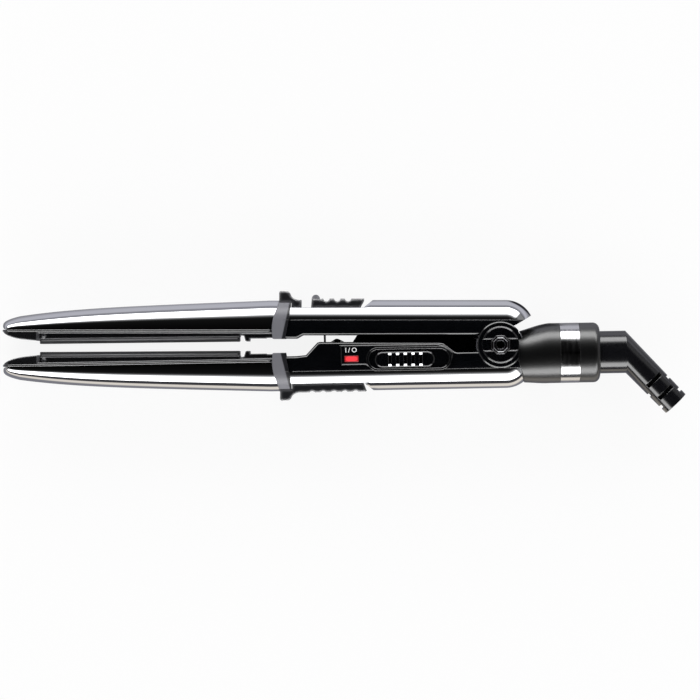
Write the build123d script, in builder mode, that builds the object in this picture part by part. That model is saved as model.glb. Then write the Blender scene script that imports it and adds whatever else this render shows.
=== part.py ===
from build123d import *
from math import cos, sin, radians, sqrt
import os

os.makedirs("parts", exist_ok=True)

# ---------------------------------------------------------------- frame and driving sizes
# The iron lies on its side. X runs from the tips (minus) to the cord (plus), Y crosses the two
# arms, Z goes up from the resting plane. The hinge axis is the Z axis.
mid_plane = 15.0            # height of the iron's mid-plane, half of its overall thickness
hinge_offset = 0.4          # the closed plates meet this far to the upper arm's side of the hinge
rest_opening = 1.0          # degrees between the arms when the latch holds them
plate_sink = 0.67           # degrees that the sprung plates rest tipped into their arms
slide_gap = 0.25            # air round a part that slides
fit_gap = 0.05              # air at a close fit
frame_draw = 0.75           # the deck's edge stands this far off the shell's wall, for its curve

# handles
handle_front = -108.8
handle_height = 22.0
handle_half_width = 13.3
handle_wall = 2.2
handle_seam = 12.0
dome_start = 3.0
dome_height = 7.5
dome_radius = handle_height - dome_height
recess_depth = 3.9          # the finger pads sit in flats cut this deep into the handles
recess_floor = handle_height - recess_depth
recess_end = -68.0
recess_slope = 4.8
roof = 1.3
roof_under = recess_floor - roof
edge_round = 1.7            # rounding of the cores' long inner edges

# plates
plate_length = 99.35
plate_thickness = 2.4
plate_half_width = 9.2
carrier_top = 6.2
rock_pin_inset = 2.0
rock_pin_height = 4.2
rock_pin_radius = 0.9

# barrels, from the handle forward: a straight run, the plate, and the nose
barrel_gap = 0.4
straight_run = 5.45
rear_block = 20.45          # solid frame behind the plate
nose_room = 18.65           # from the plate's front end to the nose
nose_length = 8.0
barrel_rear = handle_front - barrel_gap
taper_start = barrel_rear - straight_run
plate_rear = barrel_rear - rear_block
plate_front = plate_rear - plate_length
rock_pin_x = plate_front + rock_pin_inset
nose_front = plate_front - nose_room
rear_height = handle_height - 0.3
straight_taper = 5.0
nose_drop = 2.85
seam_height = 7.1
lip_height = 5.3
tip_half_width = 12.0
rear_half_width = handle_half_width
shell_wall = 1.2

# hinge
boss_radius = 11.5
boss_proud = 0.7
knuckle_radius = boss_radius - 0.2
knuckle_half = 8.4
washer_room = 0.7
spring_room = 3.6
cheek_inner = knuckle_half + washer_room
cheek_outer = handle_half_width + boss_proud
pin_radius = 3.0
cap_radius = 9.2
cap_thickness = 2.0
cap_seat = mid_plane - cap_thickness

# swivel collar and boot
collar_axis = -4.6
collar_radius = 15.0
band_front = 29.9
band_length = 9.8
collar_end = 49.9
stem_radius = 10.6
elbow_x = 63.0
elbow_angle = -46.8
boot_reach = 36.0
boot_end_radius = 6.8
cord_radius = 3.25
cord_grip = 14.0
cord_passage = 3.9

# ---------------------------------------------------------------- working planes
# Each arm has a local frame: x along the arm, y away from the closed plates, z across.
lower_plane = Plane(origin=(0, hinge_offset, mid_plane), x_dir=(1, 0, 0), z_dir=(0, 0, -1))
upper_plane = Plane(origin=(0, hinge_offset, mid_plane), x_dir=(1, 0, 0), z_dir=(0, 0, 1))
# The upper arm is drawn closed and then swung open about the hinge axis.
swing_open = Rotation(0, 0, -rest_opening)
arms = (("upper", upper_plane, swing_open), ("lower", lower_plane, Location()))


def across(arm, x):
    """Plane square to an arm at station x, with sketch y pointing outward."""
    return Plane(origin=arm.from_local_coords((x, 0, 0)), x_dir=arm.z_dir * -1, z_dir=arm.x_dir)


def above(arm, y):
    """Plane parallel to the closed plates at height y on an arm."""
    return Plane(origin=arm.from_local_coords((0, y, 0)), x_dir=arm.x_dir, z_dir=arm.y_dir)


def rocked(arm):
    """Plane of a sprung plate, tipped about its front pins so that the rear end sinks."""
    turn = radians(plate_sink)
    start_x = rock_pin_x - (rock_pin_x * cos(turn) - rock_pin_height * sin(turn))
    start_y = rock_pin_height - (rock_pin_x * sin(turn) + rock_pin_height * cos(turn))
    origin = arm.from_local_coords((start_x, start_y, 0))
    along = arm.x_dir * cos(turn) + arm.y_dir * sin(turn)
    return Plane(origin=origin, x_dir=along, z_dir=arm.z_dir)


def barrel_height(x):
    """Outer height of the tapered barrel over the closed plane."""
    span = (taper_start - x) / (taper_start - nose_front - nose_length)
    span = max(span, 0)
    return rear_height - straight_taper * span - nose_drop * span**5


def barrel_half_width(x):
    """Half width of the tapered barrel."""
    span = (taper_start - x) / (taper_start - nose_front - nose_length)
    return rear_half_width - (rear_half_width - tip_half_width) * max(span, 0)


nose_base = nose_front + nose_length
nose_angles = (0, 18, 36, 52, 66, 77, 84.5)
taper_shares = (0.08, 0.28, 0.48, 0.68, 0.84)
taper_stations = [taper_start + (nose_base - taper_start) * share for share in taper_shares]


def nose_ring(angle, inset):
    """Station of one ring of the nose, and the shares of height and width left there."""
    reach = sin(radians(angle))
    return nose_base - (nose_length - inset) * reach, cos(radians(angle)), sqrt(1 - reach**6)


# ---------------------------------------------------------------- plate-carrying barrels
for side, arm, swing in arms:
    # Half-round drawn shell: a taper that quickens towards the nose and closes round it.
    with BuildPart() as barrel_shell:
        for inset, build_mode in ((0, Mode.ADD), (shell_wall, Mode.SUBTRACT)):
            base = seam_height - inset * 0.1
            rings = [(barrel_rear + inset, 1.0, 1.0)] + [(x, 1.0, 1.0) for x in taper_stations]
            rings += [nose_ring(angle, inset) for angle in nose_angles]
            for x, tall_share, wide_share in rings:
                wide = (barrel_half_width(max(x, nose_base)) - inset) * wide_share
                tall = (barrel_height(max(x, nose_base)) - inset - base) * tall_share
                with BuildSketch(across(arm, x)):
                    with BuildLine():
                        EllipticalCenterArc((0, base), wide, tall, start_angle=0, arc_size=180)
                        Line((-wide, base), (wide, base))
                    make_face()
            loft(mode=build_mode)
    barrel_shell.part.move(swing)
    barrel_shell.part.label = f"{side}_barrel_shell"
    export_step(barrel_shell.part, f"parts/{side}_barrel_shell.step")

    # Plate frame: a rail under the shell's seam, a deck inside the shell, the keeper tooth and
    # the bar behind the plate, and slots for the plate's pins.
    frame_front = plate_front - 0.8
    deck_low = carrier_top + 2.1
    deck_high = deck_low + 1.4
    opening_half = plate_half_width + slide_gap
    with BuildPart() as plate_frame:
        with BuildSketch(above(arm, lip_height)):
            with BuildLine():
                Polyline((frame_front, barrel_half_width(frame_front)),
                         (taper_start, rear_half_width),
                         (barrel_rear + 0.2, rear_half_width),
                         (barrel_rear + 0.2, -rear_half_width),
                         (taper_start, -rear_half_width),
                         (frame_front, -barrel_half_width(frame_front)),
                         close=True)
            make_face()
        extrude(amount=seam_height - lip_height)
        with BuildSketch(above(arm, seam_height)):
            inner = shell_wall + frame_draw
            with BuildLine():
                Polyline((frame_front, barrel_half_width(frame_front) - inner),
                         (taper_start, rear_half_width - inner),
                         (barrel_rear - 0.3, rear_half_width - inner),
                         (barrel_rear - 0.3, inner - rear_half_width),
                         (taper_start, inner - rear_half_width),
                         (frame_front, inner - barrel_half_width(frame_front)),
                         close=True)
            make_face()
        extrude(amount=deck_high - seam_height)
        with BuildSketch(above(arm, lip_height)):
            with Locations(((plate_front - 0.8 + plate_rear + 0.8) / 2, 0)):
                Rectangle(plate_length + 1.6, opening_half * 2)
        extrude(amount=deck_low - lip_height, mode=Mode.SUBTRACT)
        with BuildSketch(arm):
            with BuildLine():
                Polyline((plate_rear + 0.8, lip_height + 0.3), (plate_rear + 0.8, 4.2),
                         (plate_rear + 2.3, 4.0), (plate_rear + 3.0, 1.6),
                         (plate_rear + 3.6, 1.25), (plate_rear + 5.0, 1.25),
                         (plate_rear + 5.2, 2.75), (taper_start - 1.95, 2.75),
                         (taper_start - 1.65, 3.05),
                         (barrel_rear + 0.2, 3.05), (barrel_rear + 0.2, lip_height + 0.3),
                         close=True)
            make_face()
        extrude(amount=opening_half - 0.4, both=True)
        with BuildSketch(arm):
            with Locations((rock_pin_x, rock_pin_height + 1.2)):
                SlotOverall(rock_pin_radius * 2 + 0.16 + 2.4, rock_pin_radius * 2 + 0.16, rotation=90)
        extrude(amount=opening_half + 1.0, both=True, mode=Mode.SUBTRACT)
    plate_frame.part.move(swing)
    plate_frame.part.label = f"{side}_plate_frame"
    export_step(plate_frame.part, f"parts/{side}_plate_frame.step")

    # Tip cap: rounded like the shell's nose, cut back to a lead-in at the mouth, with a spigot
    # that plugs into the shell.
    with BuildPart() as tip_cap:
        nose_rings = [nose_ring(angle, 0) for angle in nose_angles]
        nose_outline = [(x, tip_half_width * share) for x, _, share in nose_rings] + [(nose_front, 0)]
        nose_outline += [(x, -tip_half_width * share) for x, _, share in reversed(nose_rings)]
        cap_rear = frame_front - 0.1
        cap_wide = barrel_half_width(cap_rear)
        with BuildSketch(above(arm, 0.5)):
            with BuildLine():
                Line((cap_rear, -cap_wide), (cap_rear, cap_wide))
                Line((cap_rear, cap_wide), (nose_base, tip_half_width))
                Spline(*nose_outline, tangents=((-1, 0), (1, 0)))
                Line((nose_base, -tip_half_width), (cap_rear, -cap_wide))
            make_face()
        extrude(amount=seam_height - 0.15 - 0.5)
        with BuildSketch(arm):
            with BuildLine():
                Spline((cap_rear + 0.1, 1.5), (nose_base + 1.65, 2.35), (nose_base - 4.35, 3.9),
                       (nose_front - 0.1, 6.3))
                Polyline((nose_front - 0.1, 6.3), (nose_front - 0.1, -1), (cap_rear + 0.1, -1),
                         (cap_rear + 0.1, 1.5))
            make_face()
        extrude(amount=tip_half_width + 2, both=True, mode=Mode.SUBTRACT)
        with BuildSketch(above(arm, seam_height - 0.15)):
            with Locations((nose_base + 3.65, 0)):
                RectangleRounded(9.0, 15.0, 2.0)
        extrude(amount=2.6)
    tip_cap.part.move(swing)
    tip_cap.part.label = f"{side}_tip_cap"
    export_step(tip_cap.part, f"parts/{side}_tip_cap.step")

    # Plate carrier: a tray that holds the plate and the heater, hung on two front pins.
    rock_plane = rocked(arm)
    with BuildPart() as plate_carrier:
        with BuildSketch(above(rock_plane, plate_thickness)):
            with Locations((plate_front + plate_length / 2, 0)):
                RectangleRounded(plate_length + 0.6, plate_half_width * 2, 1.2)
        extrude(amount=carrier_top - plate_thickness)
        with BuildSketch(above(rock_plane, plate_thickness)):
            with Locations((plate_front + plate_length / 2, 0)):
                Rectangle(plate_length - 8.0, plate_half_width * 2 - 3.0)
        extrude(amount=2.6, mode=Mode.SUBTRACT)
        with BuildSketch(rock_plane):
            with Locations((rock_pin_x, rock_pin_height)):
                Circle(rock_pin_radius)
        extrude(amount=opening_half + 0.8, both=True)
    plate_carrier.part.move(swing)
    plate_carrier.part.label = f"{side}_plate_carrier"
    export_step(plate_carrier.part, f"parts/{side}_plate_carrier.step")

    # Heating plate: flat ground face, softly bevelled all round.
    with BuildPart() as heating_plate:
        with BuildSketch(above(rock_plane, 0)):
            with Locations((plate_front + plate_length / 2, 0)):
                RectangleRounded(plate_length, plate_half_width * 2, 1.0)
        extrude(amount=plate_thickness)
        face_edges = heating_plate.edges().filter_by_position(
            Axis(rock_plane.origin, rock_plane.y_dir), -0.05, 0.05)
        chamfer(face_edges, 0.35)
    heating_plate.part.move(swing)
    heating_plate.part.label = f"{side}_heating_plate"
    export_step(heating_plate.part, f"parts/{side}_heating_plate.step")

    # Ceramic heater in its foil, flat on the back of the plate, short of the fuse.
    heater_front = 9.7
    fuse_length = 7.5
    fuse_x = plate_rear - fuse_length - 7.85
    heater_length = fuse_x - plate_front - heater_front - 2.3
    with BuildPart() as heater:
        with BuildSketch(above(rock_plane, plate_thickness)):
            with Locations((plate_front + heater_front + heater_length / 2, 0)):
                Rectangle(heater_length, 9.0)
        extrude(amount=2.2)
        fillet(heater.edges().filter_by(Axis(rock_plane.origin, rock_plane.x_dir)), 0.4)
    heater.part.move(swing)
    heater.part.label = f"{side}_heater"
    export_step(heater.part, f"parts/{side}_heater.step")

    # Thermal fuse: small can beside the heater.
    with BuildPart() as thermal_fuse:
        with BuildSketch(across(rock_plane, fuse_x)):
            with Locations((-5.6, plate_thickness + 1.15)):
                Circle(1.1)
        extrude(amount=fuse_length)
    thermal_fuse.part.move(swing)
    thermal_fuse.part.label = f"{side}_thermal_fuse"
    export_step(thermal_fuse.part, f"parts/{side}_thermal_fuse.step")

    # Silicone cushion under the frame's deck, the soft stop of the plate's rear end.
    with BuildPart() as plate_cushion:
        cushion_x = plate_rear - 10.0
        sunk = (cushion_x + 4 - rock_pin_x) * sin(radians(plate_sink))
        with BuildSketch(above(arm, carrier_top + sunk + fit_gap)):
            with Locations((cushion_x, 0)):
                RectangleRounded(8.0, 12.0, 1.5)
        extrude(amount=deck_low - carrier_top - sunk - fit_gap)
    plate_cushion.part.move(swing)
    plate_cushion.part.label = f"{side}_plate_cushion"
    export_step(plate_cushion.part, f"parts/{side}_plate_cushion.step")

# ---------------------------------------------------------------- handles
# Inner edges of the two cores and the rear edges where the beak and the collar joint cut them.
upper_edge = ((handle_front - 1, 2.65), (-101.0, 2.65), (-98.0, 4.3), (-6.0, 4.3))
upper_rear = ((7.6, 9.4), (16.0, 14.3), (24.0, 19.0), (24.0, -10.0))
lower_edge = ((handle_front - 1, 4.35), (-101.6, 4.3), (-96.6, 3.85), (-90.9, -2.2), (-89.6, -2.58),
              (-30.5, -1.52), (-28.2, -1.2), (-22.6, 3.2), (-21.4, 3.5), (-6.0, 3.5))
lower_rear = ((9.05, 9.0), (12.0, 18.8), (12.4, 26.0), (24.0, 26.0), (24.0, -10.0))
flank_hollow = handle_half_width - handle_wall
run_length = dome_start - handle_front
upper_floor = 6.3
lower_floor = 0.6
blade_half = 1.0
catch_x = -87.15
catch_width = 6.0
catch_thickness = 1.0
catch_top = 16.0
catch_reach = sqrt((catch_thickness / 2 - catch_x) ** 2 + catch_top**2) + slide_gap
catch_rear = catch_x + 6.2
lock_foot_x = -81.0
lock_foot = 5.0
lock_travel = 4.4
panel_proud = 0.9
panel_face = handle_half_width + panel_proud
panel_thickness = 1.2
panel_outline = ((-80.0, 1.2), (-79.3, -0.5), (-79.3, -8.2), (-78.8, -8.7), (-67.0, -8.7), (-62.5, -11.95),
                 (-30.0, -11.95), (-26.0, -9.8), (-23.9, -6.0), (-23.4, -3.4), (-27.4, 0.0), (-31.5, 1.0))
slider_centre = (-47.6, -6.4)
slider_stem = (11.4, 2.8)
switch_travel = 6.0
led_centre = (-74.0, -5.7)

for side, arm, swing in arms:
    inner_edge = upper_edge if side == "upper" else lower_edge
    rear_edge = upper_rear if side == "upper" else lower_rear
    dome_axis = Axis(arm.from_local_coords((dome_start, dome_height, 0)), arm.z_dir * -1)
    # Chrome shell: the outer arc of the handle above its seam, closed behind by a dome, with the
    # finger recess sloping back up to the full height.
    with BuildPart() as handle_shell:
        for inset, build_mode in ((0, Mode.ADD), (shell_wall, Mode.SUBTRACT)):
            for piece in ("run", "dome"):
                with BuildSketch(across(arm, dome_start)):
                    wide = handle_half_width - inset
                    with BuildLine():
                        EllipticalCenterArc((0, dome_height), wide, dome_radius - inset,
                                            start_angle=0, arc_size=180)
                        Line((-wide, dome_height), (wide, dome_height))
                    make_face()
                if piece == "run":
                    extrude(amount=-run_length - inset, mode=build_mode)
                else:
                    revolve(axis=dome_axis, revolution_arc=120, mode=build_mode)
        with BuildSketch(arm):
            with Locations((-50, handle_seam - 15)):
                Rectangle(200, 30)
        extrude(amount=20, both=True, mode=Mode.SUBTRACT)
        with BuildSketch(arm):
            with BuildLine():
                Polyline((handle_front - 1, recess_floor), (recess_end, recess_floor),
                         (recess_end + recess_slope, handle_height + 0.3),
                         (handle_front - 1, handle_height + 0.3), close=True)
            make_face()
        extrude(amount=20, both=True, mode=Mode.SUBTRACT)
        with BuildSketch(arm):
            with BuildLine():
                Polyline(*rear_edge, (rear_edge[0][0], -10.0), close=True)
            make_face()
        extrude(amount=20, both=True, mode=Mode.SUBTRACT)
    handle_shell.part.move(swing)
    handle_shell.part.label = f"{side}_handle_shell"
    export_step(handle_shell.part, f"parts/{side}_handle_shell.step")

    # Handle core: the black moulding under the chrome. Flanks down to the inner edge, a lip that
    # carries the shell, a roof under the finger recess, a hollow for the works and the hinge.
    with BuildPart() as handle_core:
        wide = handle_half_width
        for piece in ("run", "dome"):
            with BuildSketch(across(arm, dome_start)):
                with BuildLine():
                    EllipticalCenterArc((0, dome_height), wide, dome_radius, start_angle=0, arc_size=180)
                    if piece == "run":
                        Polyline((-wide, dome_height), (-wide, -4.0), (wide, -4.0), (wide, dome_height))
                    else:
                        Line((-wide, dome_height), (wide, dome_height))
                make_face()
            if piece == "run":
                extrude(amount=-run_length)
            else:
                revolve(axis=dome_axis, revolution_arc=170)
        split(bisect_by=above(arm, handle_seam), keep=Keep.BOTTOM)
        lip = shell_wall + fit_gap
        with BuildSketch(across(arm, handle_front + 0.5)):
            with BuildLine():
                EllipticalCenterArc((0, dome_height), wide - lip, dome_radius - lip,
                                    start_angle=0, arc_size=180)
                Line((lip - wide, dome_height), (wide - lip, dome_height))
            make_face()
        extrude(amount=run_length - 3.5)
        # Recess for the finger pad and its slope.
        with BuildSketch(arm):
            with BuildLine():
                Polyline((handle_front - 1, recess_floor), (recess_end, recess_floor),
                         (recess_end + recess_slope, handle_height),
                         (handle_front - 1, handle_height), close=True)
            make_face()
        extrude(amount=20, both=True, mode=Mode.SUBTRACT)
        # Inner edge towards the other arm, and the rear edge.
        with BuildSketch(arm):
            with BuildLine():
                Polyline(*inner_edge, *rear_edge, (handle_front - 1, -10.0), close=True)
            make_face()
        extrude(amount=20, both=True, mode=Mode.SUBTRACT)
        reach = arm.from_local_coords((inner_edge[-1][0], 0, 0)).X
        long_edges = (handle_core.edges().filter_by(GeomType.LINE)
                      .filter_by(lambda edge: abs(abs(edge.center().Z - mid_plane) - handle_half_width) < 0.01)
                      .filter_by(lambda edge: abs(edge.center().Y) < 5 and edge.center().X < reach)
                      .filter_by(lambda edge: edge.length > 1.2))
        fillet(long_edges, edge_round)
        # Hollow for the works, open under the chrome and roofed under the finger recess.
        floor = upper_floor if side == "upper" else lower_floor
        with BuildSketch(arm):
            with BuildLine():
                Polyline((-96.0, floor + 4.0 if side == "lower" else floor), (-92.0, floor + 4.0
                         if side == "lower" else floor), (-88.0, floor), (-30.0, floor),
                         (-26.0, upper_floor), (-16.0, upper_floor), (-16.0, 24.0), (-60.0, 24.0),
                         (-60.0, roof_under), (-96.0, roof_under), close=True)
            make_face()
        extrude(amount=flank_hollow, both=True, mode=Mode.SUBTRACT)
        # Hinge end: eye knuckles on the upper arm, cheeks on the lower arm.
        if side == "upper":
            with BuildSketch(Plane.XY.offset(mid_plane - knuckle_half)):
                Circle(knuckle_radius)
            extrude(amount=knuckle_half * 2)
            for z_from, z_to in ((knuckle_half + 0.1, 20.0), (-20.0, -knuckle_half - 0.1)):
                with BuildSketch(Plane.XY.offset(mid_plane + z_from)):
                    Circle(boss_radius + 0.35)
                extrude(amount=z_to - z_from, mode=Mode.SUBTRACT)
            with BuildSketch(Plane.XY.offset(mid_plane - spring_room)):
                Circle(6.6)
                with Locations((-10.0, 0.0)):
                    Rectangle(20.0, 15.0)
            extrude(amount=spring_room * 2, mode=Mode.SUBTRACT)
            with BuildSketch(Plane.XY.offset(mid_plane - blade_half - 0.4)):
                with Locations((-38.0, 4.5)):
                    Rectangle(74.0, 13.0)
            extrude(amount=blade_half * 2 + 0.8, mode=Mode.SUBTRACT)
            with BuildSketch(Plane.XY):
                Circle(pin_radius + 0.05)
            extrude(amount=mid_plane * 2, mode=Mode.SUBTRACT)
            # Slot in the roof for the lock's foot and slot in the floor for the catch.
            with BuildSketch(above(arm, roof_under - 1)):
                with Locations((lock_foot_x - lock_travel / 2, 0)):
                    Rectangle(lock_foot + lock_travel + slide_gap * 2, lock_foot + slide_gap * 2)
            extrude(amount=4, mode=Mode.SUBTRACT)
            with BuildSketch(above(arm, 0)):
                with Locations(((catch_rear - catch_reach) / 2, 0)):
                    Rectangle(catch_reach + catch_rear, catch_width + 1.0)
            extrude(amount=upper_floor + 1, mode=Mode.SUBTRACT)
        else:
            with BuildSketch(Plane.XY.offset(mid_plane - cheek_inner)):
                Circle(knuckle_radius + 0.4)
            extrude(amount=cheek_inner * 2, mode=Mode.SUBTRACT)
            for z_from in (cheek_inner, -cheek_outer):
                with BuildSketch(Plane.XY.offset(mid_plane + z_from)):
                    Circle(boss_radius)
                    with Locations((lower_rear[0][0] + 10, 0)):
                        Rectangle(20, 40, mode=Mode.SUBTRACT)
                extrude(amount=cheek_outer - cheek_inner)
            for end in (0, -1):
                boss_face = handle_core.faces().filter_by(Axis.Z).sort_by(Axis.Z)[end]
                chamfer(boss_face.edges().filter_by(GeomType.CIRCLE), 0.6, 0.35, reference=boss_face)
            with BuildSketch(Plane.XY):
                Circle(pin_radius + 0.03)
            extrude(amount=mid_plane * 2, mode=Mode.SUBTRACT)
            for z_from in (cap_seat, -20.0):
                with BuildSketch(Plane.XY.offset(mid_plane + z_from)):
                    Circle(cap_radius + fit_gap)
                extrude(amount=20.0 - cap_seat, mode=Mode.SUBTRACT)
            # Web between the handles, reaching into the slot of the upper core.
            with BuildSketch(Plane.XY.offset(mid_plane - blade_half)):
                with BuildLine():
                    Polyline((-73.15, 0.5), (-73.15, 2.9), (-70.9, 6.2), (-65.0, 8.6), (-18.0, 7.6),
                             (-11.0, 6.6), (-9.0, -4.0), (-30.0, -4.0), close=True)
                make_face()
                Circle(knuckle_radius + 0.5, mode=Mode.SUBTRACT)
            extrude(amount=blade_half * 2)
            # Groove for the spring's lower leg.
            with BuildSketch(Plane.XY.offset(mid_plane - spring_room)):
                with Locations((-17.0, -3.4)):
                    Rectangle(14.0, 3.4)
            extrude(amount=spring_room - blade_half, mode=Mode.SUBTRACT)
            # Seat of the switch panel, the slot of its slider and the hole of the lamp.
            with BuildSketch(Plane.XY.offset(mid_plane + panel_face - panel_thickness)):
                with BuildLine():
                    Polyline(*panel_outline, close=True)
                make_face()
                offset(amount=fit_gap)
            extrude(amount=3, mode=Mode.SUBTRACT)
            with BuildSketch(Plane.XY.offset(mid_plane + flank_hollow - 1)):
                with Locations((slider_centre[0] + switch_travel / 2, slider_centre[1])):
                    Rectangle(slider_stem[0] + switch_travel + 0.6, slider_stem[1] + 0.6)
                with Locations(led_centre):
                    Rectangle(7.2, 3.2)
            extrude(amount=4, mode=Mode.SUBTRACT)
            # Tunnel for the leads below the knuckle, and the hole of the bumper's peg.
            with BuildSketch(Plane.XY.offset(mid_plane - 5.0)):
                with Locations((-2.0, -14.4)):
                    Rectangle(30.0, 8.0)
            extrude(amount=10.0, mode=Mode.SUBTRACT)
            with BuildSketch(Plane.XY.offset(mid_plane - 3.5 - fit_gap)):
                with Locations((-81.0, 2.6)):
                    Rectangle(3.0 + fit_gap * 2, 1.3)
            extrude(amount=7.0 + fit_gap * 2, mode=Mode.SUBTRACT)
            # Slit that holds the catch plate.
            with BuildSketch(above(arm, -4)):
                with Locations((catch_x, 0)):
                    Rectangle(catch_thickness + fit_gap * 2, catch_width + fit_gap * 2)
            extrude(amount=6, mode=Mode.SUBTRACT)
    handle_core.part.move(swing)
    handle_core.part.label = f"{side}_handle_core"
    export_step(handle_core.part, f"parts/{side}_handle_core.step")

# ---------------------------------------------------------------- finger guards and pads
band_wall = 1.65            # the saddle bands stand this far out from the handles' sides
band_bulge = 0.55           # the bands stand this far over the handles' top
guard_height = 4.35         # the stops stand this far over the handles
pad_half = 8.0
pad_rise = 0.5              # the lower arm's finger pad stands this far over the handle
scallop_pitch = 5.4
guard_half = handle_half_width + band_wall
band_top = handle_height + band_bulge
stop_top = handle_height + guard_height
pad_floor = recess_floor + fit_gap
for side, arm, swing in arms:
    # Saddle band: a slanted strap round the joint of barrel and handle, bevelled at the rear.
    with BuildPart() as band:
        with BuildSketch(arm):
            with BuildLine():
                Line((-106.8, 2.5), (-113.0, 2.5))
                Spline((-113.0, 2.5), (-113.4, 7.0), (-112.6, 13.5), (-110.7, 19.0), (-109.9, band_top))
                Line((-109.9, band_top), (-104.3, band_top))
                Spline((-104.3, band_top), (-104.5, 17.0), (-105.5, 10.0), (-106.8, 2.5))
            make_face()
        extrude(amount=guard_half, both=True)
        with BuildSketch(across(arm, -120.0)):
            with BuildLine():
                Polyline((-guard_half, 10.0), (-guard_half, 0.0), (guard_half, 0.0), (guard_half, 10.0))
                EllipticalCenterArc((0, 10.0), guard_half, band_top - 10.05, start_angle=0, arc_size=180)
            make_face()
        extrude(amount=30.0, mode=Mode.INTERSECT)
        for z_side in (1, -1):
            with BuildSketch(above(arm, 0.0)):
                with BuildLine():
                    Polyline((-109.4, z_side * (guard_half + 0.3)), (-104.0, z_side * (guard_half - 1.6)),
                             (-104.0, z_side * (guard_half + 3.0)), (-109.4, z_side * (guard_half + 3.0)),
                             close=True)
                make_face()
            extrude(amount=12.0, mode=Mode.SUBTRACT)
        for centre, wide, tall in ((seam_height, rear_half_width, rear_height - seam_height),
                                   (dome_height, handle_half_width, dome_radius)):
            with BuildSketch(across(arm, -116.0)):
                with BuildLine():
                    EllipticalCenterArc((0, centre), wide + fit_gap, tall + fit_gap,
                                        start_angle=0, arc_size=180)
                    Polyline((-wide - fit_gap, centre), (-wide - fit_gap, -5), (wide + fit_gap, -5),
                             (wide + fit_gap, centre))
                make_face()
            extrude(amount=14.0, mode=Mode.SUBTRACT)
    band.part.move(swing)
    band.part.label = f"{side}_band"
    export_step(band.part, f"parts/{side}_band.step")

    # Guard: a stop that stands up from the band, with a tail down to the handle's recess; on the
    # lower arm the tail runs on into the finger pad.
    tail_top = handle_height + (pad_rise if side == "lower" else 0)
    with BuildPart() as guard:
        with BuildSketch(arm):
            with BuildLine():
                Line((-109.7, 14.0), (-109.9, stop_top - 1.0))
                ThreePointArc((-109.9, stop_top - 1.0), (-109.5, stop_top - 0.2), (-108.6, stop_top))
                Line((-108.6, stop_top), (-106.0, stop_top - 0.1))
                ThreePointArc((-106.0, stop_top - 0.1), (-104.9, stop_top - 0.6), (-104.4, stop_top - 1.6))
                if side == "upper":
                    Spline((-104.4, stop_top - 1.6), (-103.3, tail_top + 1.2), (-101.3, tail_top + 0.2),
                           (-98.9, tail_top))
                    Polyline((-98.9, tail_top), (-98.9, pad_floor), (-103.9, pad_floor))
                else:
                    Spline((-104.4, stop_top - 1.6), (-103.3, tail_top + 1.1), (-101.3, tail_top + 0.2),
                           (-98.6, tail_top))
                    Polyline((-98.6, tail_top), (-67.0, tail_top), (-66.7, tail_top - 0.4),
                             (-68.2, pad_floor), (-103.9, pad_floor))
                Polyline((-103.9, pad_floor), (-103.9, 14.0), (-109.7, 14.0))
            make_face()
        extrude(amount=pad_half, both=True)
        with BuildSketch(across(arm, -120.0)):
            with BuildLine():
                EllipticalCenterArc((0, 10.0), guard_half + fit_gap, band_top - 10.0,
                                    start_angle=0, arc_size=180)
                Line((-guard_half - fit_gap, 10.0), (guard_half + fit_gap, 10.0))
            make_face()
        extrude(amount=16.2, mode=Mode.SUBTRACT)
        if side == "lower":
            with BuildSketch(arm):
                with Locations(*[(-93.8 + scallop_pitch * i, tail_top + 0.9) for i in range(5)]):
                    Ellipse(1.7, 1.5)
            extrude(amount=20, both=True, mode=Mode.SUBTRACT)
    guard.part.move(swing)
    guard.part.label = f"{side}_guard"
    export_step(guard.part, f"parts/{side}_guard.step")

# Lock slider: thumb pad with a scalloped top and a round stop in front, running in the recess of
# the upper arm, with a foot down through the slot in the roof.
lock_base = recess_floor + 0.1
lock_top = handle_height + 0.6
foot_end = roof_under - 2.0
with BuildPart() as lock_slider:
    with BuildSketch(upper_plane):
        with BuildLine():
            Polyline((-94.0, lock_base), (-93.7, lock_top))
            ThreePointArc((-93.7, lock_top), (-91.6, lock_top + 2.0), (-89.7, lock_top - 0.4))
            Polyline((-89.7, lock_top - 0.4), (-88.4, lock_top), (-67.55, lock_top),
                     (-67.65, lock_top - 1.2), (-69.4, lock_base), (-94.0, lock_base))
        make_face()
    extrude(amount=pad_half - 0.4, both=True)
    pad_top = lock_slider.faces().filter_by(Axis.Y).sort_by(Axis.Y)[-1]
    chamfer(pad_top.edges().filter_by(Axis.X), 0.8, 0.45, reference=pad_top)
    with BuildSketch(upper_plane):
        with Locations(*[(lock_foot_x - scallop_pitch * (1 - i), lock_top + 0.5) for i in range(3)]):
            Ellipse(1.7, 1.8)
    extrude(amount=20, both=True, mode=Mode.SUBTRACT)
    with BuildSketch(above(upper_plane, foot_end)):
        with Locations((lock_foot_x, 0)):
            Rectangle(lock_foot, lock_foot)
    extrude(amount=lock_base - foot_end + 0.1)
lock_slider.part.move(swing_open)
lock_slider.part.label = "lock_slider"
export_step(lock_slider.part, "parts/lock_slider.step")

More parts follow.
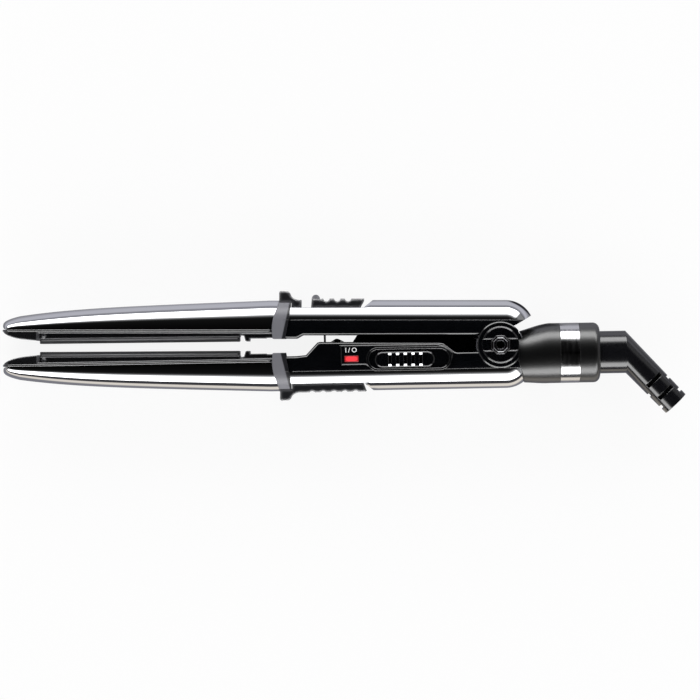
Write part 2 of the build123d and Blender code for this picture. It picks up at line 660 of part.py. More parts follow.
# Lock tongue: steel strip under the roof, carried by the lock slider's foot.
tongue_height = 10.8
tongue_thickness = 1.2
tongue_tip = lock_foot_x - 3.6
tongue_stem = lock_foot_x + 0.6
with BuildPart() as lock_tongue:
    with BuildSketch(upper_plane):
        with BuildLine():
            Polyline((tongue_tip, tongue_height), (tongue_tip, tongue_height + tongue_thickness),
                     (tongue_stem, tongue_height + tongue_thickness), (tongue_stem, foot_end - fit_gap),
                     (tongue_stem + 1.0, foot_end - fit_gap), (tongue_stem + 1.0, tongue_height),
                     close=True)
        make_face()
    extrude(amount=1.8, both=True)
    fillet(lock_tongue.edges().filter_by(Axis.Z).group_by(Axis.X)[0], 0.3)
lock_tongue.part.move(swing_open)
lock_tongue.part.label = "lock_tongue"
export_step(lock_tongue.part, "parts/lock_tongue.step")

# Lock catch: thin steel plate standing in the lower core, with the window the tongue enters.
catch_foot = -1.4
tongue_rise = hinge_offset - catch_x * sin(radians(rest_opening))
with BuildPart() as lock_catch:
    with BuildSketch(Plane(origin=(catch_x - catch_thickness / 2, 0, mid_plane), x_dir=(0, 0, -1),
                           z_dir=(1, 0, 0))):
        with Locations((0, (catch_foot + catch_top) / 2)):
            Rectangle(catch_width, catch_top - catch_foot)
        with Locations((0, tongue_height + tongue_rise + tongue_thickness / 2)):
            Rectangle(catch_width - 1.6, tongue_thickness + 1.0, mode=Mode.SUBTRACT)
        with Locations((0, catch_foot + 0.55)):
            Rectangle(catch_width + 3.0, 1.1)
    extrude(amount=catch_thickness)
    fillet(lock_catch.edges().filter_by(Axis.X).group_by(Axis.Y)[-1], 1.0)
lock_catch.part.label = "lock_catch"
export_step(lock_catch.part, "parts/lock_catch.step")

# Stop bumper: soft three-cornered stop between the handles.
with BuildPart() as stop_bumper:
    with BuildSketch(Plane.XY.offset(mid_plane - 3.5)):
        with BuildLine():
            Polyline((-84.2, 2.95), (-81.9, 4.35), (-81.15, 4.5), (-80.4, 4.35), (-77.4, 2.85), close=True)
        make_face()
        with Locations((-81.0, 2.55)):
            Rectangle(3.0, 1.1)
    extrude(amount=7.0)
    fillet(stop_bumper.edges().filter_by(Axis.Z).group_by(Axis.Y)[-1], 0.3)
stop_bumper.part.label = "stop_bumper"
export_step(stop_bumper.part, "parts/stop_bumper.step")

# ---------------------------------------------------------------- switch
recess_centre = (-45.5, -6.1)
recess_length = 40.0
recess_width = 9.5
with BuildPart() as switch_panel:
    with BuildSketch(Plane.XY.offset(mid_plane + panel_face - panel_thickness)):
        with BuildLine():
            Polyline(*panel_outline, close=True)
        make_face()
    extrude(amount=panel_thickness)
    panel_top = switch_panel.faces().sort_by(Axis.Z)[-1]
    chamfer(panel_top.edges(), 0.6, 0.35, reference=panel_top)
    with BuildSketch(Plane.XY.offset(mid_plane + panel_face)):
        with Locations(recess_centre):
            SlotOverall(recess_length + 2.4, recess_width + 2.4)
    extrude(amount=0.25)
    with BuildSketch(Plane.XY.offset(mid_plane + panel_face - 0.75)):
        with Locations(recess_centre):
            SlotOverall(recess_length, recess_width)
    extrude(amount=2, mode=Mode.SUBTRACT)
    with BuildSketch(Plane.XY.offset(mid_plane + panel_face - 2)):
        with Locations((slider_centre[0] + switch_travel / 2, slider_centre[1])):
            Rectangle(slider_stem[0] + switch_travel + 0.6, slider_stem[1] + 0.6)
        with Locations(led_centre):
            RectangleRounded(7.1, 3.1, 0.4)
    extrude(amount=4, mode=Mode.SUBTRACT)
    rim_top = switch_panel.faces().filter_by(GeomType.PLANE).sort_by(Axis.Z)[-1]
    chamfer(rim_top.edges(), 0.35, 0.2, reference=rim_top)
switch_panel.part.label = "switch_panel"
export_step(switch_panel.part, "parts/switch_panel.step")

# Switch slider: stadium button with five cross ribs and a stem through the panel.
slider_base = mid_plane + panel_face - 0.65
with BuildPart() as switch_slider:
    with BuildSketch(Plane.XY.offset(slider_base)):
        with Locations(slider_centre):
            SlotOverall(29.7, 7.8)
    extrude(amount=0.75)
    slider_top = switch_slider.faces().sort_by(Axis.Z)[-1]
    chamfer(slider_top.edges(), 0.75, 0.42, reference=slider_top)
    with BuildSketch(Plane.XY.offset(slider_base + 0.4)):
        with Locations(*[(slider_centre[0] - 7.4 + 3.85 * i, slider_centre[1]) for i in range(5)]):
            RectangleRounded(1.7, 6.9, 0.3)
    extrude(amount=0.95)
    with BuildSketch(Plane.XY.offset(mid_plane + 9.5)):
        with Locations(slider_centre):
            Rectangle(*slider_stem)
    extrude(amount=slider_base + 0.2 - mid_plane - 9.5)
switch_slider.part.label = "switch_slider"
export_step(switch_slider.part, "parts/switch_slider.step")

# Lamp lens, seated in the panel and reaching down to the board.
with BuildPart() as lamp_lens:
    with BuildSketch(Plane.XY.offset(mid_plane + 9.0)):
        with Locations(led_centre):
            RectangleRounded(7.0, 3.0, 0.35)
    extrude(amount=panel_face + 0.3 - 9.0)
    chamfer(lamp_lens.faces().sort_by(Axis.Z)[-1].edges(), 0.2)
lamp_lens.part.label = "lamp_lens"
export_step(lamp_lens.part, "parts/lamp_lens.step")

# Circuit board lengthwise in the lower handle, with the slide switch on it.
board_top = mid_plane + 4.4
with BuildPart() as circuit_board:
    with BuildSketch(Plane.XY.offset(board_top - 1.6)):
        with Locations((-55.0, -7.4)):
            RectangleRounded(52.0, 12.0, 1.5)
        with Locations((-78.0, -11.0), (-32.0, -11.0)):
            Circle(1.3, mode=Mode.SUBTRACT)
    extrude(amount=1.6)
circuit_board.part.label = "circuit_board"
export_step(circuit_board.part, "parts/circuit_board.step")

with BuildPart() as lamp:
    with BuildSketch(Plane.XY.offset(board_top)):
        with Locations(led_centre):
            Circle(1.4)
    extrude(amount=4.4)
lamp.part.label = "lamp"
export_step(lamp.part, "parts/lamp.step")

with BuildPart() as slide_switch:
    with BuildSketch(Plane.XY.offset(board_top)):
        with Locations((slider_centre[0] + switch_travel / 2, slider_centre[1])):
            Rectangle(24.0, 7.0)
    extrude(amount=6.2)
    with BuildSketch(Plane.XY.offset(board_top + 4.8)):
        with Locations((slider_centre[0] + switch_travel / 2, slider_centre[1])):
            Rectangle(18.6, 3.6)
    extrude(amount=2, mode=Mode.SUBTRACT)
slide_switch.part.label = "slide_switch"
export_step(slide_switch.part, "parts/slide_switch.step")

with BuildPart() as capacitor:
    with BuildSketch(Plane.XY.offset(board_top)):
        with Locations((-65.6, -8.8)):
            Circle(3.0)
    extrude(amount=4.6)
    fillet(capacitor.faces().sort_by(Axis.Z)[-1].edges(), 0.4)
capacitor.part.label = "capacitor"
export_step(capacitor.part, "parts/capacitor.step")

# ---------------------------------------------------------------- hinge
with BuildPart() as hinge_pin:
    with BuildSketch(Plane.XY.offset(mid_plane - cap_seat + 0.1)):
        Circle(pin_radius)
        Circle(1.3, mode=Mode.SUBTRACT)
    extrude(amount=cap_seat * 2 - 0.2)
    chamfer(hinge_pin.edges().filter_by(GeomType.CIRCLE), 0.3)
hinge_pin.part.label = "hinge_pin"
export_step(hinge_pin.part, "parts/hinge_pin.step")

# Front cap: disc with a cross channel and an eight-sided boss round the screw.
channel_depth = 0.8
with BuildPart() as front_cap:
    with BuildSketch(Plane.XY.offset(mid_plane + cap_seat)):
        Circle(cap_radius)
    extrude(amount=mid_plane - cap_seat)
    cap_top = front_cap.faces().sort_by(Axis.Z)[-1]
    chamfer(cap_top.edges(), 0.8, 0.45, reference=cap_top)
    with BuildSketch(Plane.YZ) as channel:
        with BuildLine():
            Polyline((-3.4, mid_plane * 2 + 0.1), (-3.4, mid_plane * 2), (-2.8, mid_plane * 2 - 0.33),
                     (-2.8, mid_plane * 2 - channel_depth), (2.8, mid_plane * 2 - channel_depth),
                     (2.8, mid_plane * 2 - 0.33), (3.4, mid_plane * 2), (3.4, mid_plane * 2 + 0.1), close=True)
        make_face()
    extrude(amount=cap_radius, both=True, mode=Mode.SUBTRACT)
    with BuildSketch(Plane.XY.offset(mid_plane * 2 - channel_depth - 0.1)):
        RegularPolygon(4.6, 8, rotation=22.5)
    extrude(amount=channel_depth + 0.1)
    with BuildSketch(Plane.XY.offset(mid_plane * 2 - 1.0)):
        Circle(3.4)
    extrude(amount=2, mode=Mode.SUBTRACT)
    with BuildSketch(Plane.XY):
        Circle(1.3)
    extrude(amount=mid_plane * 2, mode=Mode.SUBTRACT)
front_cap.part.label = "front_cap"
export_step(front_cap.part, "parts/front_cap.step")

with BuildPart() as hinge_screw:
    with BuildSketch(Plane.XY.offset(mid_plane * 2 - 0.95)):
        Circle(3.25)
    extrude(amount=0.8)
    fillet(hinge_screw.faces().sort_by(Axis.Z)[-1].edges(), 0.3)
    with BuildSketch(Plane.XY.offset(mid_plane * 2 - 9.0)):
        Circle(1.2)
    extrude(amount=8.2)
    with BuildSketch(Plane.XY.offset(mid_plane * 2 - 0.7)):
        RegularPolygon(1.6, 6)
    extrude(amount=2, mode=Mode.SUBTRACT)
hinge_screw.part.label = "hinge_screw"
export_step(hinge_screw.part, "parts/hinge_screw.step")

# Back cap: plain flat disc on which the iron can lie.
with BuildPart() as back_cap:
    with BuildSketch(Plane.XY):
        Circle(cap_radius)
    extrude(amount=mid_plane - cap_seat)
    chamfer(back_cap.faces().sort_by(Axis.Z)[0].edges(), 0.3)
back_cap.part.label = "back_cap"
export_step(back_cap.part, "parts/back_cap.step")

for name, height in (("front_washer", knuckle_half + 0.12), ("back_washer", -cheek_inner + 0.05)):
    with BuildPart() as hinge_washer:
        with BuildSketch(Plane.XY.offset(mid_plane + height)):
            Circle(8.0)
            Circle(pin_radius + 0.03, mode=Mode.SUBTRACT)
        extrude(amount=cheek_inner - knuckle_half - 0.17)
    hinge_washer.part.label = name
    export_step(hinge_washer.part, f"parts/{name}.step")

# Opening spring: coils round the pin with one leg under each handle.
wire_radius = 0.55
coil_radius = 3.85
coil_half = 2.275
coil_line = Rotation(0, 0, -90) * Helix(pitch=1.3, height=coil_half * 2, radius=coil_radius)
coil_line = Pos(0, 0, mid_plane - coil_half) * coil_line
with BuildPart() as opening_spring:
    with BuildLine() as wire_line:
        leg_start = coil_line @ 0 - (coil_line % 0) * 13.0
        leg_end = coil_line @ 1 + (coil_line % 1) * 13.0
        Line(leg_start, coil_line @ 0)
        add(coil_line)
        Line(coil_line @ 1, leg_end)
    with BuildSketch(Plane(origin=leg_start, z_dir=coil_line % 0)):
        Circle(wire_radius)
    sweep(path=wire_line.wires()[0], is_frenet=True)
opening_spring.part.label = "opening_spring"
export_step(opening_spring.part, "parts/opening_spring.step")

# ---------------------------------------------------------------- collar, band, end cap
def collar_plane(x):
    """Plane square to the collar's axis at station x."""
    return Plane(origin=(x, collar_axis, mid_plane), x_dir=(0, 1, 0), z_dir=(1, 0, 0))


flange_radius = 12.6
flange_front = 38.2
flange_length = 2.6
with BuildPart() as swivel_collar:
    for x, drop, radius in ((7.5, -1.9, 12.6), (13.0, -1.2, 13.3), (19.0, -0.5, 14.4), (25.0, 0, collar_radius)):
        with BuildSketch(collar_plane(x)):
            with Locations((drop, 0)):
                Circle(radius)
    loft()
    with BuildSketch(collar_plane(25.0)):
        Circle(collar_radius)
    extrude(amount=band_front - 25.0)
    with BuildSketch(collar_plane(band_front)):
        Circle(collar_radius - 0.8)
    extrude(amount=band_length)
    # Front joint with the lower handle, notched for the turning knuckle.
    with BuildSketch(Plane.XY):
        with BuildLine():
            Polyline((9.1, 12.0), (9.1, -8.2), (12.15, -18.4), (12.3, -24.0), (0.0, -24.0), (0.0, 12.0),
                     close=True)
        make_face()
    extrude(amount=mid_plane * 2, mode=Mode.SUBTRACT)
    with BuildSketch(Plane.XY.offset(mid_plane - cheek_inner)):
        Circle(boss_radius + 0.5)
    extrude(amount=cheek_inner * 2, mode=Mode.SUBTRACT)
    with BuildSketch(Plane.XY):
        Circle(cap_radius + 0.1)
    extrude(amount=mid_plane * 2, mode=Mode.SUBTRACT)
    # Passage for the leads and pocket of the boot's flange.
    with BuildSketch(collar_plane(0.0)):
        with Locations((-4.0, 0)):
            Circle(6.0)
    extrude(amount=45.0, mode=Mode.SUBTRACT)
    with BuildSketch(collar_plane(flange_front - 9.0)):
        Circle(3.9 + fit_gap)
    extrude(amount=10.0, mode=Mode.SUBTRACT)
    with BuildSketch(collar_plane(flange_front - 2.2 - fit_gap)):
        Circle(5.6 + fit_gap)
    extrude(amount=10.0, mode=Mode.SUBTRACT)
    with BuildSketch(collar_plane(flange_front - fit_gap)):
        Circle(flange_radius + slide_gap)
    extrude(amount=10.0, mode=Mode.SUBTRACT)
swivel_collar.part.label = "swivel_collar"
export_step(swivel_collar.part, "parts/swivel_collar.step")

with BuildPart() as metal_band:
    with BuildSketch(collar_plane(band_front + fit_gap)):
        Circle(collar_radius)
        Circle(collar_radius - 0.8 + fit_gap, mode=Mode.SUBTRACT)
    extrude(amount=band_length - fit_gap * 2)
    chamfer(metal_band.edges().filter_by(GeomType.CIRCLE).group_by(SortBy.RADIUS)[-1], 0.12)
metal_band.part.label = "metal_band"
export_step(metal_band.part, "parts/metal_band.step")

with BuildPart() as end_cap:
    with BuildSketch(collar_plane(band_front + band_length)):
        Circle(collar_radius - 0.05)
    extrude(amount=collar_end - band_front - band_length)
    fillet(end_cap.faces().sort_by(Axis.X)[-1].edges(), 3.2)
    with BuildSketch(collar_plane(band_front + band_length)):
        Circle(flange_radius + slide_gap)
    extrude(amount=flange_front + flange_length + fit_gap - band_front - band_length, mode=Mode.SUBTRACT)
    with BuildSketch(collar_plane(band_front)):
        Circle(stem_radius + 0.08)
    extrude(amount=30.0, mode=Mode.SUBTRACT)
end_cap.part.label = "end_cap"
export_step(end_cap.part, "parts/end_cap.step")

# Swivelling boot: flange and stem in the collar, elbow, and the slotted relief to the cord hole.
boot_dir = Vector(1, 0, 0).rotate(Axis.Z, elbow_angle)
boot_side = Vector(0, 1, 0).rotate(Axis.Z, elbow_angle)
elbow = Vector(elbow_x, collar_axis, mid_plane)


def boot_plane(reach):
    """Plane square to the slanted part of the boot, at a distance past the elbow."""
    return Plane(origin=elbow + boot_dir * reach, x_dir=boot_side, z_dir=boot_dir)


with BuildPart() as cord_boot:
    with BuildSketch(collar_plane(flange_front)):
        Circle(flange_radius)
    extrude(amount=flange_length)
    with BuildSketch(collar_plane(flange_front + flange_length)):
        Circle(stem_radius)
    extrude(amount=elbow_x - flange_front - flange_length)
    with BuildSketch(collar_plane(elbow_x)):
        Circle(stem_radius)
    with BuildSketch(boot_plane(boot_reach)):
        Circle(boot_end_radius)
    loft(ruled=True)
    # Slots cut from alternate sides leave the relief springy.
    for i in range(4):
        for z_side in (1, -1):
            with BuildSketch(boot_plane(18.6 + 4.2 * i)):
                if i % 2:
                    with Locations((z_side * 6.4, 0)):
                        Rectangle(4.2, 9.0)
                else:
                    with Locations((0, z_side * 6.8)):
                        Rectangle(9.0, 4.6)
            extrude(amount=2.0, mode=Mode.SUBTRACT)
    # Bore that grips the cord, and the wider passage behind it.
    with BuildSketch(boot_plane(boot_reach + 1)):
        Circle(cord_radius)
    extrude(amount=-boot_reach, mode=Mode.SUBTRACT)
    with BuildSketch(boot_plane(-1.5)):
        Circle(cord_passage)
    extrude(amount=boot_reach - cord_grip + 1.5, mode=Mode.SUBTRACT)
    with BuildSketch(collar_plane(flange_front - 1)):
        Circle(cord_passage)
    extrude(amount=elbow_x - flange_front + 2.5, mode=Mode.SUBTRACT)
cord_boot.part.label = "cord_boot"
export_step(cord_boot.part, "parts/cord_boot.step")

# Brass slip bush that carries the supply from the turning flange into the collar.
with BuildPart() as slip_bush:
    with BuildSketch(collar_plane(flange_front - 7.0)):
        Circle(3.9)
        Circle(2.4, mode=Mode.SUBTRACT)
    extrude(amount=7.0 - fit_gap)
    with BuildSketch(collar_plane(flange_front - 2.2)):
        Circle(5.6)
        Circle(3.9, mode=Mode.SUBTRACT)
    extrude(amount=2.2 - fit_gap)
slip_bush.part.label = "slip_bush"
export_step(slip_bush.part, "parts/slip_bush.step")

# Two leads from the bush, under the knuckle, to the circuit board.
for name, z_side in (("live_lead", 1), ("neutral_lead", -1)):
    with BuildPart() as lead:
        with BuildLine() as lead_path:
            Spline((flange_front - 7.2, collar_axis - 3.0, mid_plane + z_side * 1.6),
                   (16.0, -11.0, mid_plane + z_side * 1.9), (2.0, -14.9, mid_plane + z_side * 2.2),
                   (-16.0, -14.6, mid_plane + 1.2 + z_side * 1.6),
                   (-28.7, -8.6 + z_side * 1.6, mid_plane + 3.6),
                   tangents=((-1, 0, 0), (-1, 0, 0)))
        with BuildSketch(Plane(origin=lead_path.line @ 0, z_dir=lead_path.line % 0)):
            Circle(0.9)
        sweep(path=lead_path.line)
    lead.part.label = name
    export_step(lead.part, f"parts/{name}.step")
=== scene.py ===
import math

import bmesh
import bpy
from mathutils import Matrix, Vector


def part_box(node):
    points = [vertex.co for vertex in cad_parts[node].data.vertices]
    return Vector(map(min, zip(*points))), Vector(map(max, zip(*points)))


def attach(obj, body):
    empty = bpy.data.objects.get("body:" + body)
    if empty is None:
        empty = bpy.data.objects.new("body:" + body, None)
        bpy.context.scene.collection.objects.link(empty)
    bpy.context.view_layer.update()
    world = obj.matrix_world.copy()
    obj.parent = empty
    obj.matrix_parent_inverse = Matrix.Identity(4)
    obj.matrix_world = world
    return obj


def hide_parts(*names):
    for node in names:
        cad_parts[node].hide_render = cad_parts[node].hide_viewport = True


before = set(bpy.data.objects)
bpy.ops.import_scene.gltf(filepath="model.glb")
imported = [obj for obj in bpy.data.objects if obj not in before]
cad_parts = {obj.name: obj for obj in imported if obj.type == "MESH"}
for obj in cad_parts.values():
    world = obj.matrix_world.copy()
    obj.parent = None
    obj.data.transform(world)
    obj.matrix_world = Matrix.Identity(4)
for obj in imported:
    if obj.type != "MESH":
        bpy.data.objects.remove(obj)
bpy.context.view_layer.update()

# Barrel shells. Each is a half-round skin of drawn steel, chromed and polished. It tapers to a
# closed, rounded nose, and its long edges sit on the black frame.
MM = 0.001
# The iron lies on its side on a table: its hinge axis stands upright on the back cap, and the
# mid-plane of both arms is half the iron's thickness above the table.
HALF_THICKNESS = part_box("front_cap")[1][2] / 2
CLOSED_PLANE = 0.4 * MM
REST_OPENING = math.radians(1.0)
SEAM = 7.1 * MM
WALL = 1.2 * MM
ROLLED_EDGE = 0.18 * MM
BARREL_REAR = -109.2 * MM
TAPER_START = -114.65 * MM
FULL_HEIGHT = 21.7 * MM
HEIGHT_TAPER = 5.0 * MM
HEIGHT_CURVE = 2.85 * MM
CURVE_POWER = 5
FULL_HALF_WIDTH = 13.3 * MM
WIDTH_TAPER = 1.3 * MM
NOSE_TIP = -247.9 * MM
NOSE_LENGTH = 8.3 * MM
NOSE_BASE = NOSE_TIP + NOSE_LENGTH
NOSE_LIFT = 2.2 * MM
NOSE_BLUNTNESS = 0.43
NOSE_FULLNESS = 6
TIP_CURVE = 10
ARC_STEPS = 56
TAPER_STEPS = 40
NOSE_ANGLES = range(4, 90, 3)
# The noise that makes every grain stays almost wholly between these values.
NOISE_SPREAD = (0.3, 0.7)


def arm_matrix(side):
    """From a closed arm's own frame (along, outward, across) to where the arm rests."""
    centre = Matrix.Translation((0, CLOSED_PLANE, HALF_THICKNESS))
    if side == "upper":
        return Matrix.Rotation(-REST_OPENING, 4, "Z") @ centre
    return centre @ Matrix.Rotation(math.pi, 4, "X")


def taper_share(x):
    """How far a station is along the barrel's taper, which ends where the nose begins."""
    return max((TAPER_START - x) / (TAPER_START - NOSE_BASE), 0)


def barrel_height(x):
    """Outer height of the barrel at a station, over the closed plates."""
    return FULL_HEIGHT - HEIGHT_TAPER * taper_share(x) - HEIGHT_CURVE * taper_share(x)**CURVE_POWER


def barrel_half_width(x):
    """Half the barrel's width at a station."""
    return FULL_HALF_WIDTH - WIDTH_TAPER * taper_share(x)


def nose_width_share(reach):
    """What is left of the barrel's width at a share of the nose's length."""
    return math.sqrt(1 - reach**NOSE_FULLNESS)


def half_arc(bm, x, seam, wide, tall):
    """Half an ellipse of edges, square to the arm, from edge to edge over the top."""
    start = bmesh.ops.create_vert(bm, co=(x, 0, -1))["vert"]
    bmesh.ops.spin(bm, geom=start, cent=(x, 0, 0), axis=(1, 0, 0), angle=math.pi, steps=ARC_STEPS)
    bmesh.ops.scale(bm, vec=(1, tall, wide), verts=bm.verts)
    bmesh.ops.translate(bm, vec=(0, seam, 0), verts=bm.verts)
    return list(bm.edges)


def carry_ring(bm, ring, along, seam, wide, tall, lift=0.0):
    """Extrudes a ring of edges to a new station, scales it to that section and lifts it."""
    grown = bmesh.ops.extrude_edge_only(bm, edges=ring)["geom"]
    verts = [g for g in grown if isinstance(g, bmesh.types.BMVert)]
    bmesh.ops.translate(bm, vec=(along, -seam, 0), verts=verts)
    bmesh.ops.scale(bm, vec=(1, tall, wide), verts=verts)
    bmesh.ops.translate(bm, vec=(0, seam + lift, 0), verts=verts)
    return [g for g in grown if isinstance(g, bmesh.types.BMEdge)]


def finish_piece(bm, name, material, body, stands_for=()):
    """Turns a bmesh into a smooth-shaded piece at the origin that rides on a body."""
    bmesh.ops.recalc_face_normals(bm, faces=bm.faces)
    mesh = bpy.data.meshes.new(name)
    bm.to_mesh(mesh)
    bm.free()
    for polygon in mesh.polygons:
        polygon.use_smooth = True
    piece = bpy.data.objects.new(name, mesh)
    bpy.context.scene.collection.objects.link(piece)
    mesh.materials.append(material)
    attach(piece, body)
    if stands_for:
        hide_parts(*stands_for)
    return piece


def bevel_edges(piece, label, width, degrees):
    """A narrow bevel along the edges of a piece that are sharper than an angle."""
    edge = piece.modifiers.new(label, "BEVEL")
    edge.width = width
    edge.segments = 2
    edge.limit_method = "ANGLE"
    edge.angle_limit = math.radians(degrees)


def give_wall(skin):
    """The sheet's thickness, inwards from its polished face, and a lip rolled along its edges."""
    wall = skin.modifiers.new("wall", "SOLIDIFY")
    wall.thickness = WALL
    wall.offset = -1
    wall.use_even_offset = True
    bevel_edges(skin, "rolled edge", ROLLED_EDGE, degrees=40)


def blank_finish(name, metallic=0.0):
    """A new node material and its shader, metal or not, ready for its colour and its grain."""
    material = bpy.data.materials.new(name)
    material.use_nodes = True
    nodes, links = material.node_tree.nodes, material.node_tree.links
    shader = nodes["Principled BSDF"]
    shader.inputs["Metallic"].default_value = metallic
    return material, nodes, links, shader


def remap(nodes, low, high, to_low=0.0, to_high=1.0):
    """Carries the values from low to high over to another span, and holds them at its ends."""
    span = nodes.new("ShaderNodeMapRange")
    span.inputs["From Min"].default_value = low
    span.inputs["From Max"].default_value = high
    span.inputs["To Min"].default_value = to_low
    span.inputs["To Max"].default_value = to_high
    return span


def blend(nodes, **ends):
    """A blend of two colours, A and B; an end that isn't given here is linked later."""
    mix = nodes.new("ShaderNodeMix")
    mix.data_type = "RGBA"
    for end, colour in ends.items():
        mix.inputs[end].default_value = (*colour, 1)
    return mix


def rounded_normal(nodes, radius):
    """The way the surface faces once its edges are rounded by a radius."""
    corner = nodes.new("ShaderNodeBevel")
    corner.samples = 8
    corner.inputs["Radius"].default_value = radius
    return corner.outputs["Normal"]


def grain(nodes, links, shader, size, depth, roughness, stretch=(1, 1, 1), rounding=0.0):
    """Fine surface grain: uneven gloss and a shallow relief that follow the same pattern, over
    edges that are rounded by a given radius."""
    place = nodes.new("ShaderNodeTexCoord")
    turn = nodes.new("ShaderNodeMapping")
    turn.inputs["Scale"].default_value = stretch
    noise = nodes.new("ShaderNodeTexNoise")
    noise.inputs["Scale"].default_value = 1 / size
    noise.inputs["Detail"].default_value = 4
    gloss = remap(nodes, *NOISE_SPREAD, *roughness)
    relief = nodes.new("ShaderNodeBump")
    relief.inputs["Strength"].default_value = 0.6
    relief.inputs["Distance"].default_value = depth
    if rounding:
        links.new(rounded_normal(nodes, rounding), relief.inputs["Normal"])
    links.new(place.outputs["Object"], turn.inputs["Vector"])
    links.new(turn.outputs["Vector"], noise.inputs["Vector"])
    links.new(noise.outputs["Fac"], gloss.inputs["Value"])
    links.new(gloss.outputs["Result"], shader.inputs["Roughness"])
    links.new(noise.outputs["Fac"], relief.inputs["Height"])
    links.new(relief.outputs["Normal"], shader.inputs["Normal"])
    links.new(relief.outputs["Normal"], shader.inputs["Coat Normal"])
    return noise


def tint(nodes, links, shader, noise, dark, light):
    """Colour that drifts a little between two shades with the grain."""
    shade = blend(nodes, A=dark, B=light)
    links.new(noise.outputs["Fac"], shade.inputs["Factor"])
    links.new(shade.outputs["Result"], shader.inputs["Base Color"])


def polished_chrome():
    """Mirror chrome with the faint waviness and wiping marks of a polished drawn shell."""
    material, nodes, links, shader = blank_finish("polished_chrome", metallic=1.0)
    noise = grain(nodes, links, shader, size=14 * MM, depth=0.002 * MM, roughness=(0.035, 0.075),
                  stretch=(0.25, 1, 1))
    tint(nodes, links, shader, noise, dark=(0.77, 0.78, 0.81), light=(0.84, 0.845, 0.855))
    return material


chrome = polished_chrome()
lift_share = NOSE_LIFT / (barrel_height(NOSE_BASE) - SEAM)
stations = [(TAPER_START + (NOSE_BASE - TAPER_START) * i / TAPER_STEPS, 1.0, 1.0)
            for i in range(TAPER_STEPS + 1)]
for degrees in NOSE_ANGLES:
    reach = math.sin(math.radians(degrees))
    dome_share = lift_share + (1 - lift_share) * (1 - reach)**NOSE_BLUNTNESS
    stations.append((NOSE_BASE - NOSE_LENGTH * reach, dome_share - lift_share * reach**TIP_CURVE,
                     nose_width_share(reach)))
for side in ("upper", "lower"):
    bm = bmesh.new()
    here, wide, tall = BARREL_REAR, barrel_half_width(BARREL_REAR), barrel_height(BARREL_REAR) - SEAM
    seam = SEAM
    ring = half_arc(bm, here, seam, wide, tall)
    for x, tall_share, wide_share in stations:
        base = max(x, NOSE_BASE)
        next_wide = barrel_half_width(base) * wide_share
        next_tall = (barrel_height(base) - SEAM) * tall_share
        next_seam = SEAM + NOSE_LIFT * max((NOSE_BASE - x) / NOSE_LENGTH, 0)**TIP_CURVE
        ring = carry_ring(bm, ring, x - here, seam, next_wide / wide, next_tall / tall, next_seam - seam)
        here, wide, tall, seam = x, next_wide, next_tall, next_seam
    tip = {v for edge in ring for v in edge.verts}
    bmesh.ops.pointmerge(bm, verts=list(tip), merge_co=(NOSE_TIP, SEAM + NOSE_LIFT, 0))
    bmesh.ops.transform(bm, matrix=arm_matrix(side), verts=bm.verts)
    shell = finish_piece(bm, f"{side}_barrel_skin", chrome, f"{side}_arm", [f"{side}_barrel_shell"])
    give_wall(shell)

# Handle shells. The same drawn and chromed steel covers the outer half of each handle: a straight
# half-round run with a domed rear end, cut down to a recess where the thumb pad sits.
HANDLE_FRONT = -108.8 * MM
HANDLE_SEAM = 12.0 * MM
HANDLE_HALF = 13.3 * MM
RUN_STEPS = 28
DOME_START = 3.0 * MM
DOME_HEIGHT = 7.5 * MM
DOME_RADIUS = 14.5 * MM
DOME_TURN = math.radians(100)
DOME_STEPS = 30
RECESS_FLOOR = 18.1 * MM
RECESS_DEPTH = DOME_HEIGHT + DOME_RADIUS - RECESS_FLOOR
RECESS_END = -68.0 * MM
RECESS_SLOPE = 4.8 * MM
REAR_CUT = {"upper": ((7.6, 9.4), (16.0, 14.3)), "lower": ((9.05, 9.0), (12.0, 18.8))}


def trim(bm, point, normal, **waste):
    """Cuts a skin along a plane, as a press tool would, and drops the waste where told to."""
    everything = bm.verts[:] + bm.edges[:] + bm.faces[:]
    bmesh.ops.bisect_plane(bm, geom=everything, plane_co=point, plane_no=normal, **waste)


def over_recess(face):
    """Whether a face stands above the recess's floor and its slope."""
    centre = face.calc_center_median()
    above = centre.y - RECESS_FLOOR
    return above > 0 and above > (centre.x - RECESS_END) * RECESS_DEPTH / RECESS_SLOPE


for side in ("upper", "lower"):
    bm = bmesh.new()
    ring = half_arc(bm, HANDLE_FRONT, DOME_HEIGHT, HANDLE_HALF, DOME_RADIUS)
    for i in range(RUN_STEPS):
        ring = carry_ring(bm, ring, (DOME_START - HANDLE_FRONT) / RUN_STEPS, DOME_HEIGHT, 1, 1)
    run_end = ring + list({v for edge in ring for v in edge.verts})
    bmesh.ops.spin(bm, geom=run_end, cent=(DOME_START, DOME_HEIGHT, 0), axis=(0, 0, -1),
                   angle=DOME_TURN, steps=DOME_STEPS)
    (x_low, y_low), (x_high, y_high) = REAR_CUT[side]
    trim(bm, (0, HANDLE_SEAM, 0), (0, 1, 0), clear_inner=True)
    trim(bm, (x_low * MM, y_low * MM, 0), (y_high - y_low, x_low - x_high, 0), clear_outer=True)
    trim(bm, (RECESS_END, RECESS_FLOOR, 0), (0, 1, 0))
    trim(bm, (RECESS_END, RECESS_FLOOR, 0), (-RECESS_DEPTH, RECESS_SLOPE, 0))
    bmesh.ops.delete(bm, geom=[face for face in bm.faces if over_recess(face)], context="FACES")
    bmesh.ops.transform(bm, matrix=arm_matrix(side), verts=bm.verts)
    shell = finish_piece(bm, f"{side}_handle_skin", chrome, f"{side}_arm", [f"{side}_handle_shell"])
    give_wall(shell)

